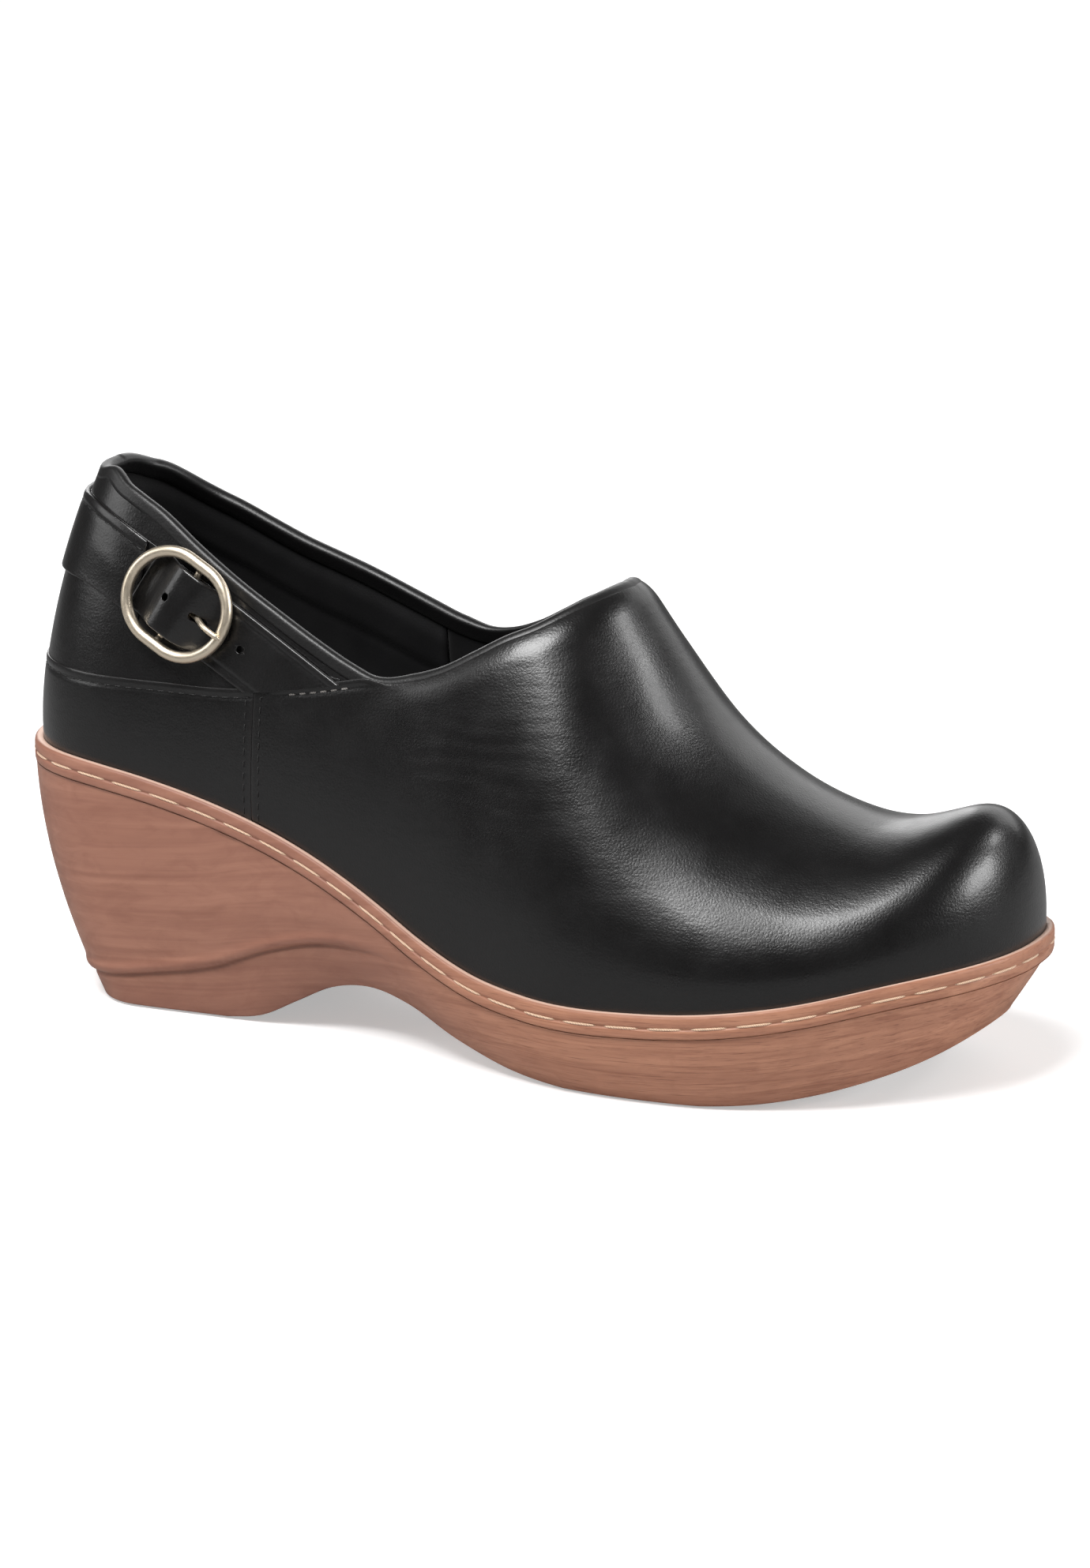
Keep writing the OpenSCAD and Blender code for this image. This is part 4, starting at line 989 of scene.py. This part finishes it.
def build_heel_parts():
    """Foxing, quarters and collar band, each lapped over the one above it. Returns the foxing's face."""
    panel = wrap_panel(both_sides(SEAM_X - 0.06), None, FOXING_LINE)
    foxing = add_leather("foxing_leather", "heel_foxing", panel, ("high", "start", "end"), lift=0.25,
                         thick=1.3, radius=0.3, grooves=(("high", FOXING_ROW),))
    outer_end, inner_end = both_sides(QUARTER_X)
    for name, node, ends in (("outer_quarter_leather", "quarter_lateral", (outer_end, -BACK_GAP)),
                             ("inner_quarter_leather", "quarter_medial", (BACK_GAP, inner_end))):
        panel = wrap_panel(ends, FOXING_LINE, BAND_LINE, low_lift=-0.4)
        add_leather(name, node, panel, ("high", "start", "end"), lift=-0.1, thick=1.1, radius=0.25)
    panel = wrap_panel(both_sides(BAND_X), BAND_LINE, TOPLINE, low_lift=-0.6, height=10.0)
    add_leather("collar_band_leather", "collar_band", panel, ("low",), lift=BAND_LIFT, thick=0.9)
    return foxing


def build_heel_strap():
    """Strap around the heel, over the quarters, from under the side strap to the foxing's inner side."""
    hidden_end = -float(strap_places(STRAP_START - 0.5, 0.0)[0])
    q = even_places(hidden_end, place_of(90.0), SPACING, True, False)
    high = line_share(q, BAND_LINE, -0.1)
    low = np.maximum(line_share(q, BAND_LINE, -STRAP_DROP), line_share(q, FOXING_LINE, 0.1))
    shares = graded(18.0, SPACING)
    points = between(q, np.minimum(low, high - 0.002), high, shares)
    sunk = 0.75 * (1 - ease(shares, 0.0, 0.55))[:, None] * ease(points[..., 0], 12, 30)
    return add_leather("heel_strap_leather", "heel_strap", points, ("low", "high", "start"),
                       lift=1.15 - sunk, thick=1.05 - sunk, radius=0.35, grooves=(("high", STRAP_ROW),))


def wall_frame(q, v):
    """Points of the wall and its outward normals, at signed places."""
    e = 2e-4
    p = around(q, v)
    da = around(q + e, v) - around(q - e, v)
    dv = around(q, np.minimum(v + e, 1)) - around(q, np.minimum(v + e, 1) - 2 * e)
    n = unit(np.cross(da, dv))
    return p, n * np.sign(np.sum(n * outward_of(p), -1, keepdims=True))


def topline_path(step):
    """Closed path along the opening's edge, with the wall's normals; about step millimetres apart."""
    back = np.linspace(0, place_of(125.0), 260)
    front = np.linspace(place_of(LINING_X), place_of(THROAT_X), 500)
    halves = []
    for side in (-1, 1):
        v_back = opening_edge(side, back)
        v_front = np.linspace(v_back[-1], 1, 90)[1:]
        a = np.concatenate([back, edge_places(v_front, side, opening_edge, front)])
        v = np.concatenate([v_back, v_front])
        halves.append(np.concatenate(wall_frame(side * np.maximum(a, 1e-5), v), 1))
    loop = np.concatenate([halves[0], halves[1][-2:0:-1]])
    closed = np.vstack([loop, loop[:1]])
    s = run_length(closed[:, :3])
    even = at_lengths(np.linspace(0, s[-1], int(s[-1] / step), endpoint=False), s, closed)
    return even[:, :3], unit(even[:, 3:])


def build_topline():
    """Rolled edge around the opening, from the outer leather over the top to the lining."""
    path, normal = topline_path(0.7)
    along = unit(np.roll(path, -2, axis=0) - np.roll(path, 2, axis=0))
    normal = unit(normal - np.sum(normal * along, -1, keepdims=True) * along)
    up = np.cross(normal, along)
    lift = EDGE_LIFT + (THROAT_LIFT - EDGE_LIFT) * ease(path[:, 0], 99, 112)
    outer = curl(path, 0.0) + normal * lift[:, None]
    inner = path - normal * (INNER_FACE + 0.45)
    loops = [outer + normal * 0.04 * height + up * height for height in (-2.4, -1.6, -0.9)]
    for turn in np.linspace(0, math.pi, 13):
        share = (1 + math.cos(turn)) / 2
        loops.append(outer * share + inner * (1 - share) + up * (1.45 * math.sin(turn) ** 0.8 - 0.15))
    for sink, height in ((0.0, -0.9), (0.0, -1.8), (0.0, -3.0), (0.5, -3.4)):
        loops.append(inner + normal * (sink - 0.08 * height) + up * height)
    loops += [inner + normal * 1.2 - up * 2.0, outer - normal * 0.9 - up * 2.4]
    edge = add_loft("topline_edge", np.array(loops), EDGE_LEATHER, closed=True)
    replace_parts(edge, "topline_binding")


# ------------------------------------------------------------------ inside of the upper
STIFF_DEPTHS = (LEATHER_T + 0.15, LEATHER_T + 1.0)      # of the sheets between leather and lining
COUNTER_X, COUNTER_TOP = 58.0, [(-10, 78), (40, 78), (58, 66), (70, 58)]
PAD_X, PAD_LOW = 84.0, [(-10, 80), (40, 80), (58, 72), (84, 84)]
PUFF_FROM, PUFF_TO = 0.882, 0.9995         # places of the toe puff


def add_lining(name, node, outer, inner, relief):
    """A lining between two grids, its face inside the shoe raised by relief."""
    face = inner + unit(inner - outer) * relief[..., None]
    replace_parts(add_sheet(name, outer, face, LINING), node)


def build_linings():
    """Lining of the quarters, padded along the collar, and of the vamp."""
    q = even_places(*both_sides(LINING_X), SPACING * 1.4)
    top = line_share(q, TOPLINE)
    shares = graded(70.0, SPACING * 1.2, False, True)
    gap = np.linalg.norm(between(q, 0.0, top, shares) - around(q, top), axis=-1)
    pad = 0.9 * ease(gap, 2.5, 7.0) * (1 - ease(gap, 13, 16.5)) - 0.25 * hump(gap, 16.5, 0.9)
    outer, inner = (between(q, 0.0, top, shares, depth) for depth in (LINING_AT, INNER_FACE))
    add_lining("quarter_lining_leather", "quarter_lining", outer, inner, pad + 0.10 * ripple(inner, 26, 3))
    outer, inner = (front_panel(LINING_X + 0.4, opening_edge, depth, SPACING * 1.6, fine=False)
                    for depth in (LINING_AT, INNER_FACE))
    add_lining("vamp_lining_leather", "vamp_lining", outer, inner, 0.10 * ripple(inner, 30, 5))


def build_stiffeners():
    """Heel counter, collar foam and toe puff."""
    q = even_places(*both_sides(COUNTER_X), 3.0)
    top = line_share(q, COUNTER_TOP)
    counter = [between(q, 0.0, top, np.linspace(0, 1, 20), depth) for depth in STIFF_DEPTHS]
    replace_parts(add_sheet("counter_sheet", *counter, STIFF), "heel_counter")
    q = even_places(*both_sides(PAD_X), 3.0)
    low, top = line_share(q, PAD_LOW), line_share(q, TOPLINE, -2.6)
    padding = [between(q, low, top, np.linspace(0, 1, 16), depth) for depth in STIFF_DEPTHS]
    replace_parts(add_sheet("collar_foam", *padding, PAD_FOAM), "collar_padding")
    a, v = np.linspace(PUFF_FROM, PUFF_TO, 34), np.linspace(0, 1, 30)[:, None]
    puff = [np.concatenate([wall(-1, a, v, depth), wall(1, a, v, depth)[-2::-1]]) for depth in STIFF_DEPTHS]
    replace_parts(add_sheet("toe_puff_sheet", *puff, STIFF), "toe_puff")


# ------------------------------------------------------------------ strap and buckle
# In the buckle's axes, places are along the strap, across it and out of the leather.
BUCKLE_A, BUCKLE_V = 0.2567, 0.348         # place of the buckle's bar on the outer wall
BAR_Z, RING_Z = 1.7, 3.55                  # heights of bar and ring over the wall
WIRE_R, BAR_R, PRONG_R = 1.4, 0.8, 0.7
RING_R, RING_STRAIGHT = 11.2, 5.3          # radius of the ring's rounds, and the straight between them
EYE_PROFILE = ((0.9, -1.0), (1.35, -1.1), (1.5, -0.95), (1.5, 0.95), (1.35, 1.1), (0.9, 1.0))
CHAPE_OUT, CHAPE_IN = 1.5, 0.95            # radii of the loop around the bar
CHAPE_HALVES = ((-7.0, -1.5), (1.5, 7.0))  # across the strap, on both sides of the prong
STRAP_T = 1.1
STRAP_PATH = [(-12.4, .8), (-8.2, 1.0), (-5.6, 2.6), (-3.4, 3.9), (0, 4.2), (3.0, 3.95), (5.2, 3.0),
              (8.6, 1.1), (12, .75), (60, .75)]        # (along, out) over the bar and down on the quarter
PRONG_PATH = [(1.1, 1.95), (5.2, 2.1), (7, 3.2), (8.8, 4.6), (10.4, 5.3), (12.2, 5.6), (15, 5.6)]
HOLE_R = 0.95
HOLES = ((-3.0, -3.0), (5.2, 7.8), (19.0, 19.0))       # first and last place of the cutter's middle


def buckle_axes():
    """Base point and axes of the buckle: along the strap, across it, out of the leather."""
    base, out = wall_frame(-BUCKLE_A, BUCKLE_V)
    hint = np.array([math.cos(STRAP_ANGLE), 0, -math.sin(STRAP_ANGLE)])
    along = unit(hint - (hint @ out) * out)
    return base, np.array([along, np.cross(out, along), out])


BASE, AXES = buckle_axes()


def at_buckle(points):
    """From the buckle's own axes to drawn millimetres."""
    return BASE + np.asarray(points, float) @ AXES


def strap_places(s, t):
    """Places (a, v) on the outer wall under points of the buckle's plane, found by Newton steps."""
    s, t = np.broadcast_arrays(np.asarray(s, float), np.asarray(t, float))
    a = BUCKLE_A + s / 250
    v = BUCKLE_V + t / 110
    e = 1e-4
    for _ in range(14):
        p = (wall(-1, a, v) - BASE) @ AXES[:2].T
        pa = ((wall(-1, a + e, v) - BASE) @ AXES[:2].T - p) / e
        pv = ((wall(-1, a, v + e) - BASE) @ AXES[:2].T - p) / e
        det = pa[..., 0] * pv[..., 1] - pa[..., 1] * pv[..., 0]
        ds, dt = s - p[..., 0], t - p[..., 1]
        a = a + np.clip((ds * pv[..., 1] - dt * pv[..., 0]) / det, -0.05, 0.05)
        v = v + np.clip((dt * pa[..., 0] - ds * pa[..., 1]) / det, -0.1, 0.1)
    return a, v


def strap_ends(t):
    """How far the side strap reaches along each of its lines t, until it meets the foxing."""
    probe = np.linspace(6, 62, 160)
    p = wall(-1, *strap_places(probe[None, :], t))
    over = p[..., 2] - smooth(FOXING_LINE, p[..., 0]) + 0.9
    return np.array([probe[np.argmax(row < 0)] if (row < 0).any() else probe[-1] for row in over])


def build_side_strap():
    """Strap through the ring, bridging the bar, then lying on the quarter down to the foxing."""
    t = (graded(STRAP_W, SPACING * 0.7) - 0.5)[:, None] * STRAP_W
    s = STRAP_START + (strap_ends(t)[:, None] - STRAP_START) * graded(55.0, SPACING * 0.7)
    a, v = strap_places(s, t)
    base, normal = wall_frame(-a, v)
    plane = (base - BASE) @ AXES[2]
    bridge = ease(s, STRAP_START, -8.5) * (1 - ease(s, 8.0, 13.0))
    crown = 0.35 * bridge * (1 - (t / (STRAP_W / 2)) ** 2)
    height = (smooth(STRAP_PATH, s) - 0.55 * plane) * bridge + 0.68 * (1 - bridge) + crown
    gap = np.minimum(STRAP_W / 2 - np.abs(t), s - STRAP_START)
    dent = 0.15 * hump(gap, 2.0, 0.5) * (1 - bridge)
    outer = base + normal * (height + STRAP_T / 2 - dent - round_drop(gap, 0.5))[..., None]
    inner = base + normal * (height - STRAP_T / 2 + 0.4 * round_drop(gap, 0.5))[..., None]
    strap = add_sheet("side_strap_leather", outer, inner, LEATHER, worn_near(gap))
    punch(strap)
    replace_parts(strap, "side_strap")


def punch(strap):
    """Cuts the strap's round holes and the prong's slot."""
    turn = np.linspace(0, 2 * math.pi, 24, endpoint=False)
    for first, last in HOLES:
        a, v = strap_places((first + last) / 2, 0.0)
        p, n = wall_frame(-a, v)
        along = unit(AXES[0] - (AXES[0] @ n) * n)
        reach = HOLE_R * np.cos(turn) + (last - first) / 2 * np.sign(np.cos(turn))
        ring = reach[:, None] * along + HOLE_R * np.sin(turn)[:, None] * np.cross(n, along)
        loops = np.array([p + n * height + ring for height in (-0.6, 9.0)])
        cutter = add_loft("punch_tool", loops, LEATHER)
        cut = strap.modifiers.new("punch", "BOOLEAN")
        cut.operation = "DIFFERENCE"
        cut.solver = "EXACT"
        cut.object = cutter
        bpy.context.view_layer.update()
        evaluated = strap.evaluated_get(bpy.context.evaluated_depsgraph_get())
        mesh = bpy.data.meshes.new_from_object(evaluated)
        strap.modifiers.clear()
        strap.data = mesh
        bpy.data.objects.remove(cutter)


def ring_path():
    """Stadium path of the ring, in the buckle's axes."""
    turn = np.linspace(-math.pi / 2, math.pi / 2, 100)
    front = np.stack([RING_STRAIGHT / 2 + RING_R * np.cos(turn), RING_R * np.sin(turn)], -1)
    straight = np.linspace(RING_STRAIGHT / 2, -RING_STRAIGHT / 2, 10)[1:-1]
    top = np.stack([straight, np.full(len(straight), RING_R)], -1)
    path = np.concatenate([front, top, -front, -top])
    return np.column_stack([path, np.full(len(path), RING_Z)])


def build_ring():
    """Ring, and the bar across it, whose ends rise into the ring."""
    ring = add_tube("gold_ring", at_buckle(ring_path()), WIRE_R, GOLD, AXES[2], "ring", 28, closed=True)
    y = np.linspace(-RING_R - 0.2, RING_R + 0.2, 60)
    bar = np.stack([0 * y, y, BAR_Z + (RING_Z - BAR_Z) * ease(np.abs(y), 9.2, 11.2)], -1)
    add_tube("gold_bar", at_buckle(bar), BAR_R, GOLD, AXES[0], "ring")
    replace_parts(ring, "buckle_ring")


def build_prong():
    """Prong with a narrowed tip, and the eye that turns on the bar."""
    s = np.linspace(PRONG_PATH[0][0], PRONG_PATH[-1][0], 70)
    path = np.stack([s, 0 * s, smooth(PRONG_PATH, s)], -1)
    radius = PRONG_R * (1 - 0.65 * ease(s, 13.4, 15.0) ** 2)
    prong = add_tube("gold_prong", at_buckle(path), radius, GOLD, AXES[1], "prong", 18)
    turn = np.linspace(0, 2 * math.pi, 40, endpoint=False)
    eye = [np.stack([r * np.cos(turn), np.full(40, y), BAR_Z + r * np.sin(turn)], -1)
           for r, y in EYE_PROFILE]
    add_loft("gold_prong_eye", at_buckle(eye), GOLD, closed=True, body="prong")
    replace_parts(prong, "buckle_prong")


def build_chape():
    """Leather loop around the bar, in two halves with the prong between them."""
    turn = np.linspace(-math.pi / 2, math.pi / 2, 18)
    circle = np.stack([np.cos(turn), np.sin(turn)], -1)
    outer = [[(-6, 0.2), (-3, 0.2)], (0, BAR_Z) + CHAPE_OUT * circle, [(-3, 2.6), (-6, 1.4)]]
    inner = [[(-6, 0.9), (-3, 1.9)], (0, BAR_Z) + CHAPE_IN * circle[::-1], [(-3, 0.75), (-6, 0.7)]]
    profile = np.concatenate(outer + inner)
    halves = []
    for number, (first, last) in enumerate(CHAPE_HALVES, 1):
        loops = [np.insert(profile, 1, y, axis=1) for y in (first, first + 0.15, last - 0.15, last)]
        halves.append(add_loft(f"chape_loop_{number}", at_buckle(loops), LEATHER))
    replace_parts(halves[0], "buckle_chape")


# ------------------------------------------------------------------ stitching
def parts_where(curve, keep):
    """The unbroken parts of a curve where keep is true."""
    marks = np.flatnonzero(np.diff(np.concatenate([[0], keep.astype(int), [0]])))
    return [curve[first:last] for first, last in zip(marks[::2], marks[1::2]) if last - first > 3]


def offset_curve(face, edge, distance):
    """The curve on a face (points and normals) at a distance from one of its edges, with its normals."""
    both = np.concatenate(face, -1)
    gaps = gap_to(face[0], border(face[0], edge))
    if edge in ("start", "end"):
        both, gaps = np.swapaxes(both, 0, 1), gaps.T
    if edge in ("high", "end"):
        both, gaps = both[::-1], gaps[::-1]
    half = max(3, int(both.shape[0] * 0.6))
    both, gaps = both[:half], np.maximum.accumulate(gaps[:half], axis=0)
    found = [j for j in range(both.shape[1]) if gaps[-1, j] > distance]
    return np.array([[np.interp(distance, gaps[:, j], both[:, j, k]) for k in range(6)] for j in found])


def seam_row(curve, radius=0.17):
    """Fine stitches along a curve that carries its normals."""
    return stitch_run(curve[:, :3], unit(curve[:, 3:]), 2.9, 0.68, radius, rise=0.04)


def build_upper_stitches(vamp, foxing, heel_strap):
    """Black thread beside the seams, and the paler row that joins the vamp's wings to the quarters, its grey
    partly a painted glint on black thread.
    """
    rows = [seam_row(offset_curve(face, edge, distance)) for face, edge, distance in (
        (foxing, "high", FOXING_ROW), (foxing, "start", SEAM_IN), (foxing, "end", SEAM_IN),
        (heel_strap, "high", STRAP_ROW))]
    join = offset_curve(vamp, "start", SEAM_IN)
    x = join[:, 0]
    rows += [seam_row(part) for part in parts_where(join, x < WING_X[0])]
    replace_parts(add_stitches("black_seam_thread", rows, BLACK_THREAD), "upper_stitching")
    wings = parts_where(join, (x >= WING_X[0]) & (x < WING_X[1]))
    add_stitches("wing_seam_thread", [seam_row(part, 0.22) for part in wings], GLINT_GREY_THREAD)


# ------------------------------------------------------------------ hidden pieces, kept from the frame
def dress_node(node, material):
    """Gives a kept CAD piece its material."""
    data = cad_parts[node].data
    data.materials.clear()
    data.materials.append(material)


# ------------------------------------------------------------------ stage
FLOOR_REACH = 1.12                         # metres; ends before the dim strip behind the rear light
LIGHTS = (                                 # name, azimuth, elevation, distance, width, depth, power
    ("overhead", -9, 60, 1.3, 0.62, 0.66, 22),
    ("toe_side", 98, 19, 1.3, 0.50, 0.35, 8),
    ("instep_spot", 124, 33, 1.4, 0.24, 0.22, 2.2),
    ("behind", 178, 24, 1.6, 1.5, 0.8, 5),
    ("behind_heel", -145, 14, 1.5, 0.8, 0.7, 4),
    ("front_fill", -62, 24, 1.8, 0.9, 0.9, 7))
CAMERA_AZIMUTH, CAMERA_ELEVATION, CAMERA_AWAY = 25, 15, 1.2
CAMERA_TARGET = (128, 0, 50)               # in drawn millimetres
CAMERA_LENS, CAMERA_SHIFT = 115.03, (0.0123, 0.0251)


def sky_place(azimuth, elevation, distance):
    """A place around the shoe; azimuth 0 is its outer side and 90 its toe, in degrees."""
    a, e = math.radians(azimuth), math.radians(elevation)
    return Vector((math.sin(a) * math.cos(e), -math.cos(a) * math.cos(e), math.sin(e))) * distance


def add_facing(name, data, target, azimuth, elevation, distance):
    """A light or camera that looks at a target from a place around it."""
    obj = bpy.data.objects.new(name, data)
    bpy.context.scene.collection.objects.link(obj)
    away = sky_place(azimuth, elevation, distance)
    obj.location = target + away
    obj.rotation_euler = (target - obj.location).to_track_quat("-Z", "Y").to_euler()
    return obj


def build_floor():
    """White floor. It glows towards the camera, to stay white around a soft shadow, and mirrors dimly."""
    g = Graph("studio_floor", "stage")
    ray = g.node("LightPath")
    tint = g.mix(ray.outputs["Is Glossy Ray"], (0.80, 0.80, 0.80), (0.30, 0.30, 0.30))
    g.finish(Base_Color=tint, Roughness=0.9, Specular_IOR_Level=0.1, Emission_Color=(1.0, 0.99, 0.985),
             Emission_Strength=g.maths("MULTIPLY", ray.outputs["Is Camera Ray"], 0.42))
    mesh = bpy.data.meshes.new("studio_floor")
    corners = [(x * FLOOR_REACH, y * FLOOR_REACH, 0) for x, y in ((-1, -1), (1, -1), (1, 1), (-1, 1))]
    mesh.from_pydata(corners, [], [(0, 1, 2, 3)])
    mesh.materials.append(g.material)
    floor = bpy.data.objects.new("studio_floor", mesh)
    bpy.context.scene.collection.objects.link(floor)


def build_sky():
    """White behind the floor's edge for the camera, dim for everything else."""
    world = bpy.data.worlds.new("studio")
    world.use_nodes = True
    tree = world.node_tree
    seen = tree.nodes.new("ShaderNodeLightPath").outputs["Is Camera Ray"]
    strength = tree.nodes.new("ShaderNodeMapRange")
    strength.inputs["To Min"].default_value = 0.08
    strength.inputs["To Max"].default_value = 1.05
    tree.links.new(seen, strength.inputs["Value"])
    tree.links.new(strength.outputs["Result"], tree.nodes["Background"].inputs["Strength"])
    tree.nodes["Background"].inputs["Color"].default_value = (1.0, 0.99, 0.98, 1)
    bpy.context.scene.world = world
    bpy.context.scene.view_settings.view_transform = "Standard"


def build_lights():
    """Soft boxes above, beyond the toe, behind and in front."""
    middle = (CAD_BOX[0] + CAD_BOX[1]) / 2
    for name, azimuth, elevation, distance, width, depth, power in LIGHTS:
        data = bpy.data.lights.new(name, "AREA")
        data.shape = "RECTANGLE"
        data.size = width
        data.size_y = depth
        data.energy = power
        add_facing(name, data, middle, azimuth, elevation, distance)


def build_camera():
    """The photo's view: three quarters from the outer side, round towards the toe and a little up."""
    data = bpy.data.cameras.new("camera")
    data.lens = CAMERA_LENS
    data.sensor_width = 36
    data.shift_x, data.shift_y = CAMERA_SHIFT
    target = Vector(place(CAMERA_TARGET))
    camera = add_facing("camera", data, target, CAMERA_AZIMUTH, CAMERA_ELEVATION, CAMERA_AWAY)
    bpy.context.scene.camera = camera


def build_shoe():
    """All pieces; the upper's stitches come last, on the faces of the leather that they join."""
    build_sole()
    build_welt()
    build_welt_stitches()
    build_treads()
    build_footbed()
    vamp = build_vamp()
    foxing = build_heel_parts()
    heel_strap = build_heel_strap()
    build_topline()
    build_linings()
    build_stiffeners()
    build_side_strap()
    build_ring()
    build_prong()
    build_chape()
    build_upper_stitches(vamp, foxing, heel_strap)
    dress_node("steel_shank", shank_steel())
    dress_node("forefoot_filler", cork())
    dress_node("insole_board", fibre_board())


build_shoe()
build_floor()
build_sky()
build_lights()
build_camera()
